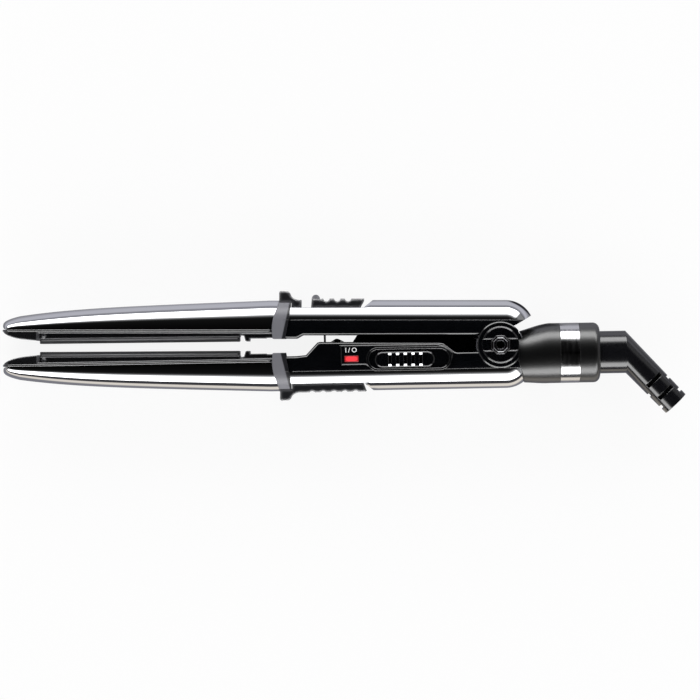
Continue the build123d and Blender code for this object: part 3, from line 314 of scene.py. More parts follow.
# Plate frames, tip caps and plate carriers. Heat-resistant nylon, moulded with a fine spark
# texture. The caps plug into the noses, and the carriers hang in the frames on small pins.
def dress(material, *nodes):
    """Gives CAD nodes their material."""
    for name in nodes:
        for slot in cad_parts[name].material_slots:
            slot.material = material


def maths(nodes, kind, operation, second=None):
    """A Math or VectorMath node, with its second value set where one is given."""
    sum_node = nodes.new(f"ShaderNode{kind}")
    sum_node.operation = operation
    if second is not None:
        sum_node.inputs[1].default_value = second
    return sum_node


def lay_over(nodes, links, shader, cover, colour):
    """Lays a second colour over the shader's own, as far as a value covers it."""
    under = shader.inputs["Base Color"].links[0].from_socket
    laid = blend(nodes, B=colour)
    links.new(cover, laid.inputs["Factor"])
    links.new(under, laid.inputs["A"])
    links.new(laid.outputs["Result"], shader.inputs["Base Color"])


# How square a rounded edge still stands to its face where the painted edge highlight starts, and
# where it is full.
HIGHLIGHT_START, HIGHLIGHT_FULL = 0.995, 0.88


def painted_edge_highlight(nodes, links, shader, width, colour):
    """A paler colour along the rounded edges: a painted highlight."""
    face = nodes.new("ShaderNodeNewGeometry")
    turned = maths(nodes, "VectorMath", "DOT_PRODUCT")
    amount = remap(nodes, HIGHLIGHT_START, HIGHLIGHT_FULL)
    links.new(rounded_normal(nodes, width), turned.inputs[0])
    links.new(face.outputs["True Normal"], turned.inputs[1])
    links.new(turned.outputs["Value"], amount.inputs["Value"])
    lay_over(nodes, links, shader, amount.outputs["Result"], colour)


def glossy_skin(shader, roughness, index=1.5):
    """The smooth skin of a moulding over its colour, with a given refractive index."""
    shader.inputs["Coat Weight"].default_value = 1.0
    shader.inputs["Coat Roughness"].default_value = roughness
    shader.inputs["Coat IOR"].default_value = index


def frame_nylon():
    """Black glass-filled nylon with a fine moulded texture."""
    material, nodes, links, shader = blank_finish("frame_nylon")
    noise = grain(nodes, links, shader, size=0.35 * MM, depth=0.003 * MM, roughness=(0.24, 0.34),
                  rounding=1.3 * MM)
    tint(nodes, links, shader, noise, dark=(0.004, 0.004, 0.005), light=(0.008, 0.008, 0.010))
    # The paler edges are a painted highlight.
    painted_edge_highlight(nodes, links, shader, width=1.4 * MM, colour=(0.10, 0.10, 0.11))
    glossy_skin(shader, roughness=0.2, index=1.9)
    return material


nylon = frame_nylon()
for side in ("upper", "lower"):
    dress(nylon, f"{side}_plate_frame", f"{side}_tip_cap", f"{side}_plate_carrier")

# Frame beads. A slim rounded rib of the frame runs just inside each barrel's long edges and round
# its nose, where it fills the joint between steel and nylon. It is polished in the tool.
BEAD_RADIUS = 0.6 * MM
BEAD_INSET = 0.35 * MM
BEAD_DROP = 0.55 * MM
BEAD_START = -112.0 * MM
BEAD_STEPS = 30
BEAD_NOSE_ANGLES = range(4, 90, 4)
LIE_DOWN = Matrix.Rotation(math.pi / 2, 3, "Y")


def gloss_black(name, index):
    """Polished black plastic with faint flow marks, under a lacquer of a given refractive index."""
    material, nodes, links, shader = blank_finish(name)
    noise = grain(nodes, links, shader, size=5 * MM, depth=0.003 * MM, roughness=(0.1, 0.18),
                  rounding=0.35 * MM)
    tint(nodes, links, shader, noise, dark=(0.0012, 0.0014, 0.002), light=(0.0025, 0.003, 0.004))
    glossy_skin(shader, roughness=0.06, index=index)
    return material


black = gloss_black("gloss_black", index=1.6)
bright_black = gloss_black("bright_gloss_black", index=2.0)
run_out = [BEAD_START + (NOSE_BASE - BEAD_START) * i / BEAD_STEPS for i in range(BEAD_STEPS + 1)]
flank = [(x, barrel_half_width(x) - BEAD_INSET) for x in run_out]
for degrees in BEAD_NOSE_ANGLES:
    reach = math.sin(math.radians(degrees))
    flank.append((NOSE_BASE - (NOSE_LENGTH - BEAD_INSET) * reach,
                  (barrel_half_width(NOSE_BASE) - BEAD_INSET) * nose_width_share(reach)))
path = flank + [(NOSE_TIP + BEAD_INSET, 0)] + [(x, -z) for x, z in reversed(flank)]
for side in ("upper", "lower"):
    bm = bmesh.new()
    bmesh.ops.create_circle(bm, segments=10, radius=BEAD_RADIUS)
    bmesh.ops.rotate(bm, cent=(0, 0, 0), matrix=LIE_DOWN, verts=bm.verts)
    bmesh.ops.translate(bm, vec=(path[0][0], SEAM - BEAD_DROP, path[0][1]), verts=bm.verts)
    loop = list(bm.edges)
    bmesh.ops.contextual_create(bm, geom=loop)
    heading = math.pi
    for before, here, after in zip(path, path[1:], path[2:] + path[-1:]):
        grown = bmesh.ops.extrude_edge_only(bm, edges=loop)["geom"]
        verts = [g for g in grown if isinstance(g, bmesh.types.BMVert)]
        bmesh.ops.translate(bm, vec=(here[0] - before[0], 0, here[1] - before[1]), verts=verts)
        course = math.atan2(after[1] - before[1], after[0] - before[0]) % (2 * math.pi)
        bend = Matrix.Rotation(heading - course, 3, "Y")
        bmesh.ops.rotate(bm, cent=(here[0], 0, here[1]), matrix=bend, verts=verts)
        loop = [g for g in grown if isinstance(g, bmesh.types.BMEdge)]
        heading = course
    bmesh.ops.contextual_create(bm, geom=loop)
    bmesh.ops.transform(bm, matrix=arm_matrix(side), verts=bm.verts)
    bead = finish_piece(bm, f"{side}_frame_bead", bright_black, f"{side}_arm")

# Heating plates. Ground aluminium under a dark ceramic coat, with faint marks along the plate
# from the lapping and from hair drawn over it.
def ceramic_coat():
    """Dark ceramic coat, brushed lengthwise."""
    material, nodes, links, shader = blank_finish("ceramic_coat", metallic=0.5)
    noise = grain(nodes, links, shader, size=0.8 * MM, depth=0.003 * MM, roughness=(0.22, 0.38),
                  stretch=(0.03, 1, 1))
    tint(nodes, links, shader, noise, dark=(0.075, 0.075, 0.08), light=(0.14, 0.14, 0.145))
    return material


dress(ceramic_coat(), "upper_heating_plate", "lower_heating_plate")

# Plate edges. A narrow rounded strip of pale grey metal lies along the back half of each plate's
# side, along the whole plate. Its pale colour is a painted highlight line along the plate's edge.
PLATE_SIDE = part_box("upper_heating_plate")[1][2]
EDGE_HALF = 0.46 * MM
EDGE_FLATNESS = 0.5
EDGE_ENDS = {"upper": ((-228.0, 6.12), (-130.5, 5.56)), "lower": ((-228.1, -1.34), (-130.6, -2.48))}


def painted_highlight_strip():
    """Pale grey metal, drawn lengthwise, whose pale colour is a painted highlight."""
    material, nodes, links, shader = blank_finish("painted_highlight_strip", metallic=0.3)
    noise = grain(nodes, links, shader, size=0.6 * MM, depth=0.003 * MM, roughness=(0.28, 0.42),
                  stretch=(0.04, 1, 1))
    # The pale grey is a painted highlight.
    tint(nodes, links, shader, noise, dark=(0.22, 0.22, 0.23), light=(0.30, 0.30, 0.31))
    return material


highlight_strip_finish = painted_highlight_strip()
for side in ("upper", "lower"):
    bm = bmesh.new()
    (front_x, front_y), (rear_x, rear_y) = EDGE_ENDS[side]
    lean = Matrix.Rotation(math.atan2(rear_y - front_y, rear_x - front_x), 3, "Z")
    middle = ((front_x + rear_x) / 2 * MM, (front_y + rear_y) / 2 * MM)
    for across in (PLATE_SIDE, 2 * HALF_THICKNESS - PLATE_SIDE):
        bar = bmesh.ops.create_cone(bm, cap_ends=True, segments=12, radius1=EDGE_HALF, radius2=EDGE_HALF,
                                    depth=(rear_x - front_x) * MM)["verts"]
        bmesh.ops.rotate(bm, cent=(0, 0, 0), matrix=LIE_DOWN, verts=bar)
        bmesh.ops.scale(bm, vec=(1, 1, EDGE_FLATNESS), verts=bar)
        bmesh.ops.rotate(bm, cent=(0, 0, 0), matrix=lean, verts=bar)
        bmesh.ops.translate(bm, vec=(*middle, across), verts=bar)
    strip = finish_piece(bm, f"{side}_plate_edge", highlight_strip_finish, f"{side}_plate")

# Heaters, fuses and cushions behind the plates: foil-wrapped ceramic strips, small tinned cans
# and grey silicone blocks, hidden by the carriers. The works of hinge and lock are of bright steel.
def heater_foil():
    """Amber polyimide foil with fine creases."""
    material, nodes, links, shader = blank_finish("heater_foil")
    noise = grain(nodes, links, shader, size=2 * MM, depth=0.03 * MM, roughness=(0.2, 0.45))
    tint(nodes, links, shader, noise, dark=(0.45, 0.22, 0.04), light=(0.65, 0.38, 0.1))
    return material


def grey_silicone():
    """Matt grey silicone with a powdery surface."""
    material, nodes, links, shader = blank_finish("grey_silicone")
    noise = grain(nodes, links, shader, size=0.6 * MM, depth=0.02 * MM, roughness=(0.6, 0.8))
    tint(nodes, links, shader, noise, dark=(0.26, 0.26, 0.26), light=(0.34, 0.34, 0.34))
    return material


def bright_steel():
    """Plain bright steel with fine rolling marks."""
    material, nodes, links, shader = blank_finish("bright_steel", metallic=1.0)
    noise = grain(nodes, links, shader, size=0.5 * MM, depth=0.004 * MM, roughness=(0.2, 0.36),
                  stretch=(1, 1, 0.1))
    tint(nodes, links, shader, noise, dark=(0.5, 0.5, 0.52), light=(0.62, 0.62, 0.64))
    return material


dress(heater_foil(), "upper_heater", "lower_heater")
dress(grey_silicone(), "upper_plate_cushion", "lower_plate_cushion")
dress(bright_steel(), "upper_thermal_fuse", "lower_thermal_fuse", "hinge_pin", "front_washer",
      "back_washer", "opening_spring", "lock_catch", "lock_tongue")

# Handle cores, switch panel and hinge caps. Hard gloss-black moulding with the slight unevenness
# of a polished tool; the cores carry the works, and the panel and caps are pressed into them.
CORE_ROUNDING = 0.3 * MM
WELD_GAP = 0.002 * MM

dress(black, "upper_handle_core", "lower_handle_core", "switch_panel", "back_cap")
dress(bright_black, "front_cap", "hinge_screw")
for side in ("upper", "lower"):
    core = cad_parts[f"{side}_handle_core"]
    weld = core.modifiers.new("joined faces", "WELD")
    weld.merge_threshold = WELD_GAP
    bevel_edges(core, "rounded edges", CORE_ROUNDING, degrees=35)

# Switch button. A black stadium with a wide bevel and a stem down to the switch. Five chromed
# cross bars stand on it for the thumb, with their ends sloped down to the bevel.
BUTTON_CENTRE = (-47.6 * MM, -6.4 * MM)
BUTTON_REACH = 10.95 * MM
BUTTON_SIDES = 48
BUTTON_RADIUS = 3.9 * MM
FACE_RADIUS = 3.15 * MM
BUTTON_BASE = 28.55 * MM
BUTTON_SHOULDER = 28.88 * MM
BUTTON_FACE = 29.3 * MM
STEM = (11.4 * MM, 2.8 * MM)
STEM_FOOT = 24.5 * MM
STEM_HEAD = BUTTON_BASE + 0.2 * MM
BAR = (1.7 * MM, 6.7 * MM)
BAR_CREST = (0.8, 0.66, 1)
BAR_FOOT = BUTTON_FACE - 0.06 * MM
BAR_HEAD = 29.9 * MM
BAR_PITCH = 3.85 * MM
FIRST_BAR = -7.4 * MM
BAR_COUNT = 5
BUTTON_WEAR = 0.07 * MM


def stadium_loop(bm, radius, level):
    """A stadium-shaped loop of edges round the button's centre."""
    half_step = Matrix.Rotation(math.pi / BUTTON_SIDES, 4, "Z")
    verts = bmesh.ops.create_circle(bm, segments=BUTTON_SIDES, radius=radius, matrix=half_step)["verts"]
    for end in (1, -1):
        half = [v for v in verts if v.co.x * end > 0]
        bmesh.ops.translate(bm, vec=(end * BUTTON_REACH, 0, 0), verts=half)
    bmesh.ops.translate(bm, vec=(*BUTTON_CENTRE, level), verts=verts)
    return list({edge for v in verts for edge in v.link_edges})


def button_block(bm, footprint, foot, head, along=0.0, crest=(1, 1, 1)):
    """A block across the button's centre line, with its upper end drawn in."""
    block = bmesh.ops.create_cube(bm, size=1)["verts"]
    bmesh.ops.scale(bm, vec=(*footprint, head - foot), verts=block)
    bmesh.ops.scale(bm, vec=crest, verts=[v for v in block if v.co.z > 0])
    place = (BUTTON_CENTRE[0] + along, BUTTON_CENTRE[1], (head + foot) / 2)
    bmesh.ops.translate(bm, vec=place, verts=block)


def wear_edges(piece, width, degrees):
    """Flat faces that meet in narrow worn edges."""
    for polygon in piece.data.polygons:
        polygon.use_smooth = False
    bevel_edges(piece, "worn edges", width, degrees)


bm = bmesh.new()
foot_loop = stadium_loop(bm, BUTTON_RADIUS, BUTTON_BASE)
shoulder_loop = stadium_loop(bm, BUTTON_RADIUS, BUTTON_SHOULDER)
face_loop = stadium_loop(bm, FACE_RADIUS, BUTTON_FACE)
bmesh.ops.contextual_create(bm, geom=foot_loop)
bmesh.ops.contextual_create(bm, geom=face_loop)
bmesh.ops.bridge_loops(bm, edges=foot_loop + shoulder_loop)
bmesh.ops.bridge_loops(bm, edges=shoulder_loop + face_loop)
button_block(bm, STEM, STEM_FOOT, STEM_HEAD)
black_faces = len(bm.faces)
for i in range(BAR_COUNT):
    button_block(bm, BAR, BAR_FOOT, BAR_HEAD, FIRST_BAR + BAR_PITCH * i, BAR_CREST)
bm.faces.ensure_lookup_table()
for face in bm.faces[black_faces:]:
    face.material_index = 1
button = finish_piece(bm, "switch_button", bright_black, "power_switch", ["switch_slider"])
button.data.materials.append(chrome)
wear_edges(button, BUTTON_WEAR, degrees=25)

# Hinge cap boss and screw face. An eight-sided bevelled rim is pressed into the cap round the
# hinge screw, and the screw has a bevelled ring round its socket. Both are plated black nickel.
RIM_WEAR = 0.05 * MM
RIMS = {"cap_boss_rim": (8, ((5.05, 29.95), (5.05, 30.0), (4.5, 30.26),
                             (3.95, 30.26), (3.5, 30.0), (3.5, 29.95))),
        "screw_face": (40, ((2.55, 29.8), (2.55, 29.85), (2.0, 30.1),
                            (1.75, 30.1), (1.4, 29.86), (1.4, 29.8)))}


def black_nickel():
    """Black nickel plate with fine turning marks."""
    material, nodes, links, shader = blank_finish("black_nickel", metallic=1.0)
    noise = grain(nodes, links, shader, size=0.4 * MM, depth=0.002 * MM, roughness=(0.16, 0.26))
    tint(nodes, links, shader, noise, dark=(0.22, 0.22, 0.23), light=(0.28, 0.28, 0.29))
    return material


def bevelled_rim(bm, sides, corners):
    """A closed rim with a given number of sides, turned from corners of radius and height."""
    loops = []
    for radius, level in corners:
        place = Matrix.Translation((0, 0, level * MM)) @ Matrix.Rotation(math.pi / sides, 4, "Z")
        verts = bmesh.ops.create_circle(bm, segments=sides, radius=radius * MM, matrix=place)["verts"]
        loops.append(list({edge for v in verts for edge in v.link_edges}))
    for outer, inner in zip(loops, loops[1:] + loops[:1]):
        bmesh.ops.bridge_loops(bm, edges=outer + inner)


nickel = black_nickel()
for name, (sides, corners) in RIMS.items():
    bm = bmesh.new()
    bevelled_rim(bm, sides, corners)
    rim = finish_piece(bm, name, nickel, "lower_arm")
    wear_edges(rim, RIM_WEAR, degrees=20)

# Saddle bands. Black moulded straps round the joint of barrel and handle, which keep the fingers
# off the hot barrels. Satin grey paint covers the face. Along the rear edge it turns black, which
# is painted shade where the rear bevel faces away from the light.
# Painted shade along the band's rear edge: its slant, where it starts and where it is full, and its
# colour.
REAR_SHADE_SLANT = -0.235
REAR_SHADE_START, REAR_SHADE_FULL = -110.0 * MM, -109.3 * MM
REAR_SHADE_COLOUR = (0.012, 0.012, 0.015)


def satin_grey():
    """Satin grey paint on black plastic, with painted shade in black along the rear edge."""
    material, nodes, links, shader = blank_finish("satin_grey")
    noise = grain(nodes, links, shader, size=0.3 * MM, depth=0.008 * MM, roughness=(0.3, 0.44),
                  rounding=0.9 * MM)
    tint(nodes, links, shader, noise, dark=(0.15, 0.15, 0.168), light=(0.19, 0.19, 0.21))
    place = nodes.new("ShaderNodeTexCoord")
    parts = nodes.new("ShaderNodeSeparateXYZ")
    outward = maths(nodes, "Math", "ABSOLUTE")
    station = maths(nodes, "Math", "MULTIPLY_ADD", REAR_SHADE_SLANT)
    lip = remap(nodes, REAR_SHADE_START, REAR_SHADE_FULL)
    lip.interpolation_type = "SMOOTHSTEP"
    links.new(place.outputs["Object"], parts.inputs["Vector"])
    links.new(parts.outputs["Y"], outward.inputs[0])
    links.new(outward.outputs["Value"], station.inputs[0])
    links.new(parts.outputs["X"], station.inputs[2])
    links.new(station.outputs["Value"], lip.inputs["Value"])
    # The rear edge is darkened with painted shade.
    lay_over(nodes, links, shader, lip.outputs["Result"], REAR_SHADE_COLOUR)
    return material


dress(satin_grey(), "upper_band", "lower_band")

# Guards, finger pad and lock slider. Satin black moulding: a stop on each band, a scalloped pad
# under the lower arm, and the sliding lock with its thumb grip on the upper arm.
def grip_black():
    """Satin black plastic with a fine texture."""
    material, nodes, links, shader = blank_finish("grip_black")
    noise = grain(nodes, links, shader, size=0.3 * MM, depth=0.004 * MM, roughness=(0.26, 0.38),
                  rounding=2.2 * MM)
    tint(nodes, links, shader, noise, dark=(0.010, 0.010, 0.013), light=(0.018, 0.018, 0.022))
    # The paler edges are a painted highlight.
    painted_edge_highlight(nodes, links, shader, width=2.6 * MM, colour=(0.15, 0.15, 0.16))
    glossy_skin(shader, roughness=0.28, index=2.0)
    return material


dress(grip_black(), "upper_guard", "lower_guard", "lock_slider")

# Switch works. A lacquered board with a slide switch, a capacitor and a red lamp, whose light
# shows through a red lens in the panel.
LENS_CENTRE = (-74.0 * MM, -5.7 * MM)
LENS_HALF = (3.3 * MM, 1.3 * MM)
GLOW_COLOUR = (1.0, 0.06, 0.075)
GLOW_FALLOFF = (0.2, 1.1)
GLOW_STRENGTH = (0.85, 0.03)


def red_lens():
    """Red translucent lens, lit from behind and dimmer towards its edges."""
    material, nodes, links, shader = blank_finish("red_lens")
    noise = grain(nodes, links, shader, size=1.2 * MM, depth=0.004 * MM, roughness=(0.14, 0.26))
    tint(nodes, links, shader, noise, dark=(0.22, 0.008, 0.01), light=(0.34, 0.014, 0.018))
    shader.inputs["Emission Color"].default_value = (*GLOW_COLOUR, 1)
    place = nodes.new("ShaderNodeTexCoord")
    centre = nodes.new("ShaderNodeMapping")
    centre.inputs["Location"].default_value = (
        -LENS_CENTRE[0] / LENS_HALF[0], -LENS_CENTRE[1] / LENS_HALF[1], 0)
    centre.inputs["Scale"].default_value = (1 / LENS_HALF[0], 1 / LENS_HALF[1], 0)
    squared = maths(nodes, "VectorMath", "MULTIPLY")
    fourth = maths(nodes, "VectorMath", "DOT_PRODUCT")
    glow = remap(nodes, *GLOW_FALLOFF, *GLOW_STRENGTH)
    links.new(place.outputs["Object"], centre.inputs["Vector"])
    links.new(centre.outputs["Vector"], squared.inputs[0])
    links.new(centre.outputs["Vector"], squared.inputs[1])
    links.new(squared.outputs["Vector"], fourth.inputs[0])
    links.new(squared.outputs["Vector"], fourth.inputs[1])
    links.new(fourth.outputs["Value"], glow.inputs["Value"])
    links.new(glow.outputs["Result"], shader.inputs["Emission Strength"])
    return material


def board_lacquer():
    """Green solder lacquer over glass cloth."""
    material, nodes, links, shader = blank_finish("board_lacquer")
    noise = grain(nodes, links, shader, size=0.7 * MM, depth=0.006 * MM, roughness=(0.24, 0.4))
    tint(nodes, links, shader, noise, dark=(0.015, 0.11, 0.04), light=(0.03, 0.18, 0.07))
    return material


dress(red_lens(), "lamp_lens", "lamp")
dress(board_lacquer(), "circuit_board")
dress(nylon, "slide_switch", "capacitor")

# Switch marks. Two characters and a stroke above the lamp, pad-printed on the panel in one film
# of white ink.
MARKS_PLACE = (-74.2 * MM, -1.45 * MM)
PANEL_RIM = 0.25 * MM
PANEL_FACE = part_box("switch_panel")[1][2] - PANEL_RIM


def print_white():
    """White pad-printing ink, slightly uneven."""
    material, nodes, links, shader = blank_finish("print_white")
    noise = grain(nodes, links, shader, size=0.5 * MM, depth=0.003 * MM, roughness=(0.4, 0.6))
    tint(nodes, links, shader, noise, dark=(0.72, 0.72, 0.72), light=(0.86, 0.86, 0.86))
    return material


lettering = bpy.data.curves.new("switch_marks", "FONT")
lettering.body = "I / O"
lettering.align_x = "CENTER"
lettering.align_y = "CENTER"
lettering.size = 3.3 * MM
lettering.space_character = 0.95
lettering.offset = 0.05 * MM
lettering.extrude = 0.03 * MM
drawn = bpy.data.objects.new("switch_marks_drawn", lettering)
bpy.context.scene.collection.objects.link(drawn)
bpy.context.view_layer.update()
marks_mesh = bpy.data.meshes.new_from_object(drawn)
bpy.data.objects.remove(drawn)
marks_mesh.transform(Matrix.Translation((*MARKS_PLACE, PANEL_FACE)))
marks_mesh.materials.clear()
marks_mesh.materials.append(print_white())
marks = bpy.data.objects.new("switch_marks", marks_mesh)
bpy.context.scene.collection.objects.link(marks)
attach(marks, "lower_arm")

# Stop bumper and cord boot. Black elastomer: the bumper plugs into the lower core, and the boot
# turns in the collar and takes the cord through its slotted relief.
def black_elastomer():
    """Smooth black rubber with a soft sheen."""
    material, nodes, links, shader = blank_finish("black_elastomer")
    noise = grain(nodes, links, shader, size=1.5 * MM, depth=0.002 * MM, roughness=(0.16, 0.24),
                  rounding=0.5 * MM)
    tint(nodes, links, shader, noise, dark=(0.004, 0.004, 0.005), light=(0.007, 0.007, 0.009))
    glossy_skin(shader, roughness=0.14)
    return material


dress(black_elastomer(), "stop_bumper", "cord_boot")

# Swivel collar and end cap. Satin black moulding, turned-looking, screwed together round the
# boot's flange with the metal band between them.
def satin_black():
    """Satin black plastic with a very fine texture."""
    material, nodes, links, shader = blank_finish("satin_black")
    noise = grain(nodes, links, shader, size=0.3 * MM, depth=0.002 * MM, roughness=(0.34, 0.42),
                  rounding=0.5 * MM)
    tint(nodes, links, shader, noise, dark=(0.0005, 0.0005, 0.0007), light=(0.0010, 0.0010, 0.0012))
    glossy_skin(shader, roughness=0.27, index=1.65)
    return material


dress(satin_black(), "swivel_collar", "end_cap")

# Metal band. Bright stainless strip rolled into a ring, left plain, with fine marks round it. The
# collar and the end cap hold it between them.
def band_steel():
    """Bright stainless with fine marks round the ring."""
    material, nodes, links, shader = blank_finish("band_steel", metallic=1.0)
    noise = grain(nodes, links, shader, size=1.2 * MM, depth=0.004 * MM, roughness=(0.08, 0.2),
                  stretch=(1, 0.15, 0.15))
    tint(nodes, links, shader, noise, dark=(0.7, 0.7, 0.71), light=(0.84, 0.84, 0.85))
    return material


dress(band_steel(), "metal_band")

# Slip bush and leads. The bush, of turned brass, carries the supply from the turning boot into
# the collar. Two wires in brown and blue sleeves take it from there to the circuit board.
SLEEVE_SHADES = (0.85, 1.15)


def turned_brass():
    """Turned brass with fine rings."""
    material, nodes, links, shader = blank_finish("turned_brass", metallic=1.0)
    noise = grain(nodes, links, shader, size=0.6 * MM, depth=0.004 * MM, roughness=(0.2, 0.34),
                  stretch=(1, 0.2, 0.2))
    tint(nodes, links, shader, noise, dark=(0.66, 0.45, 0.16), light=(0.82, 0.6, 0.26))
    return material


def wire_sleeve(name, colour):
    """Coloured PVC sleeve."""
    material, nodes, links, shader = blank_finish(name)
    noise = grain(nodes, links, shader, size=1.0 * MM, depth=0.005 * MM, roughness=(0.34, 0.48))
    dark, light = ([level * shade for level in colour] for shade in SLEEVE_SHADES)
    tint(nodes, links, shader, noise, dark, light)
    return material


dress(turned_brass(), "slip_bush")
dress(wire_sleeve("brown_sleeve", (0.16, 0.06, 0.03)), "live_lead")
dress(wire_sleeve("blue_sleeve", (0.03, 0.1, 0.4)), "neutral_lead")

# Table top. A pale matt sweep that reads as white and keeps the iron's soft shadow. The polished
# shells mirror it in painted bands of light and shade, which it shows only to reflections, along
# the iron: cream beside the lower arm with dark beyond it, grey under both arms as painted shadow,
# and pale grey beside the upper arm.
TABLE_HALF = 3.0
TABLE_PAINT = (0.9, 0.9, 0.9)
TABLE_WHITENESS = 0.88
TABLE_SHOWN = 150 * MM
TABLE_DARK = (0.05, 0.05, 0.055)
TABLE_CREAM = (0.84, 0.78, 0.70)
TABLE_BANDS = ((-108, TABLE_DARK), (-88, TABLE_DARK), (-74, TABLE_CREAM), (-46, TABLE_CREAM),
               (-36, (0.22, 0.22, 0.245)), (24, (0.24, 0.24, 0.26)), (44, (0.52, 0.52, 0.57)),
               (90, (0.54, 0.54, 0.59)), (125, (0.28, 0.28, 0.31)))
# A painted dark spot of shade beside the hinge, shown only to reflections, which the domed end of
# the upper handle mirrors.
SPOT_CENTRE = (20 * MM, 30 * MM, 0)
SPOT_EDGE = (9 * MM, 16 * MM)
SPOT_COLOUR = (0.03, 0.03, 0.035)


def fill_ramp(ramp, bands):
    """Sets a colour ramp to bands of place and colour."""
    elements = ramp.color_ramp.elements
    while len(elements) < len(bands):
        elements.new(0.5)
    for element, (place, _) in zip(elements, bands):
        element.position = place
    for element, (_, colour) in zip(elements, bands):
        element.color = (*colour, 1)


def table_paint():
    """White to the eye, matt in its light and shade, with painted bands where metal mirrors it."""
    material, nodes, links, shader = blank_finish("table_paint")
    shader.inputs["Base Color"].default_value = (*TABLE_PAINT, 1)
    shader.inputs["Roughness"].default_value = 0.9
    shader.inputs["Specular IOR Level"].default_value = 0
    place = nodes.new("ShaderNodeTexCoord")
    parts = nodes.new("ShaderNodeSeparateXYZ")
    across = remap(nodes, -TABLE_SHOWN, TABLE_SHOWN)
    bands = nodes.new("ShaderNodeValToRGB")
    fill_ramp(bands, [((y * MM / TABLE_SHOWN + 1) / 2, colour) for y, colour in TABLE_BANDS])
    reach = maths(nodes, "VectorMath", "DISTANCE", SPOT_CENTRE)
    spot = remap(nodes, *SPOT_EDGE)
    spot.interpolation_type = "SMOOTHSTEP"
    # To reflections the table shows emitted painted light and painted shadow in bands, and a painted
    # dark spot.
    mirrored = blend(nodes, A=SPOT_COLOUR)
    ray = nodes.new("ShaderNodeLightPath")
    seen = blend(nodes, A=(1, 1, 1))
    glow = nodes.new("ShaderNodeEmission")
    lightness = maths(nodes, "Math", "MULTIPLY_ADD", TABLE_WHITENESS)
    both = nodes.new("ShaderNodeMixShader")
    links.new(place.outputs["Object"], parts.inputs["Vector"])
    links.new(parts.outputs["Y"], across.inputs["Value"])
    links.new(across.outputs["Result"], bands.inputs["Fac"])
    links.new(place.outputs["Object"], reach.inputs[0])
    links.new(reach.outputs["Value"], spot.inputs["Value"])
    links.new(spot.outputs["Result"], mirrored.inputs["Factor"])
    links.new(bands.outputs["Color"], mirrored.inputs["B"])
    links.new(ray.outputs["Is Glossy Ray"], seen.inputs["Factor"])
    links.new(mirrored.outputs["Result"], seen.inputs["B"])
    links.new(seen.outputs["Result"], glow.inputs["Color"])
    links.new(ray.outputs["Is Camera Ray"], lightness.inputs[0])
    links.new(ray.outputs["Is Glossy Ray"], lightness.inputs[2])
    links.new(lightness.outputs["Value"], both.inputs["Fac"])
    links.new(shader.outputs["BSDF"], both.inputs[1])
    links.new(glow.outputs["Emission"], both.inputs[2])
    links.new(both.outputs["Shader"], nodes["Material Output"].inputs["Surface"])
    return material


table_mesh = bpy.data.meshes.new("table_top")
bm = bmesh.new()
bmesh.ops.create_grid(bm, x_segments=1, y_segments=1, size=TABLE_HALF)
bm.to_mesh(table_mesh)
bm.free()
table_mesh.materials.append(table_paint())
table = bpy.data.objects.new("table_top", table_mesh)
bpy.context.scene.collection.objects.link(table)

# Studio. Two long soft boxes stand along the table, one beside each arm, from just above the
# horizon to about 25 degrees up. The ceiling and both ends stay dark, so that flat black faces
# read black, and matt surfaces get an even fill from all round.
BOX_LEVEL = 4.3
BOX_BANDS = ((0.0, 0.2), (0.495, 0.1), (0.515, 0.5), (0.53, 1.0), (0.72, 1.0), (0.75, 0.5),
             (0.78, 0.16), (0.81, 0.04), (0.84, 0.006), (0.87, 0.0015), (1.0, 0.0006))
BOX_BEARING = (0.70, 0.80)
END_LEVEL = 0.06
FILL_LEVEL = 0.5
world = bpy.data.worlds.new("studio")
bpy.context.scene.world = world
world.use_nodes = True
nodes, links = world.node_tree.nodes, world.node_tree.links
direction = nodes.new("ShaderNodeTexCoord")
parts = nodes.new("ShaderNodeSeparateXYZ")
height = remap(nodes, -1, 1)
boxes = nodes.new("ShaderNodeValToRGB")
fill_ramp(boxes, [(place, (level, level, level)) for place, level in BOX_BANDS])
flat = maths(nodes, "VectorMath", "MULTIPLY", (1, 1, 0))
bearing = maths(nodes, "VectorMath", "NORMALIZE")
bearing_parts = nodes.new("ShaderNodeSeparateXYZ")
sideways = maths(nodes, "Math", "ABSOLUTE")
ends = remap(nodes, *BOX_BEARING, to_low=END_LEVEL)
boxes_and_ends = maths(nodes, "Math", "MULTIPLY")
power = maths(nodes, "Math", "MULTIPLY", BOX_LEVEL)
ray = nodes.new("ShaderNodeLightPath")
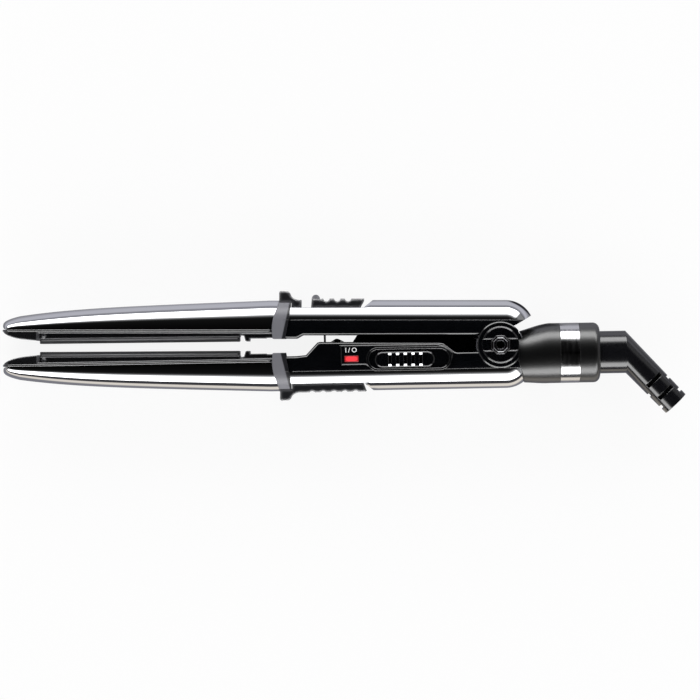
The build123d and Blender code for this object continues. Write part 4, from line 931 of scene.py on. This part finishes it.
fill = maths(nodes, "Math", "MULTIPLY_ADD", FILL_LEVEL)
lit = nodes.new("ShaderNodeBackground")
lit.inputs["Color"].default_value = (1, 1, 1, 1)
backdrop = nodes["Background"]
backdrop.inputs["Color"].default_value = (1, 1, 1, 1)
backdrop.inputs["Strength"].default_value = 1.0
either = nodes.new("ShaderNodeMixShader")
links.new(direction.outputs["Generated"], parts.inputs["Vector"])
links.new(parts.outputs["Z"], height.inputs["Value"])
links.new(height.outputs["Result"], boxes.inputs["Fac"])
links.new(direction.outputs["Generated"], flat.inputs[0])
links.new(flat.outputs["Vector"], bearing.inputs[0])
links.new(bearing.outputs["Vector"], bearing_parts.inputs["Vector"])
links.new(bearing_parts.outputs["Y"], sideways.inputs[0])
links.new(sideways.outputs["Value"], ends.inputs["Value"])
links.new(boxes.outputs["Color"], boxes_and_ends.inputs[0])
links.new(ends.outputs["Result"], boxes_and_ends.inputs[1])
links.new(boxes_and_ends.outputs["Value"], power.inputs[0])
links.new(ray.outputs["Is Diffuse Ray"], fill.inputs[0])
links.new(power.outputs["Value"], fill.inputs[2])
links.new(fill.outputs["Value"], lit.inputs["Strength"])
links.new(ray.outputs["Is Camera Ray"], either.inputs["Fac"])
links.new(lit.outputs["Background"], either.inputs[1])
links.new(backdrop.outputs["Background"], either.inputs[2])
links.new(either.outputs["Shader"], nodes["World Output"].inputs["Surface"])

# Camera. It looks straight down on the iron from well above, turned by the one degree that the
# arms rest open, so that the upper handle lies level.
LENS = 180.0
SENSOR = 36.0
VIEW_WIDTH = 350 * MM
VIEW_CENTRE = Vector((-74.68 * MM, -1.30 * MM, HALF_THICKNESS))
camera_data = bpy.data.cameras.new("camera")
camera_data.lens = LENS
camera_data.sensor_width = SENSOR
camera = bpy.data.objects.new("camera", camera_data)
bpy.context.scene.collection.objects.link(camera)
camera.location = VIEW_CENTRE + Vector((0, 0, VIEW_WIDTH * LENS / SENSOR))
camera.rotation_euler = (0, 0, -REST_OPENING)
bpy.context.scene.camera = camera
bpy.context.scene.view_settings.view_transform = "Standard"
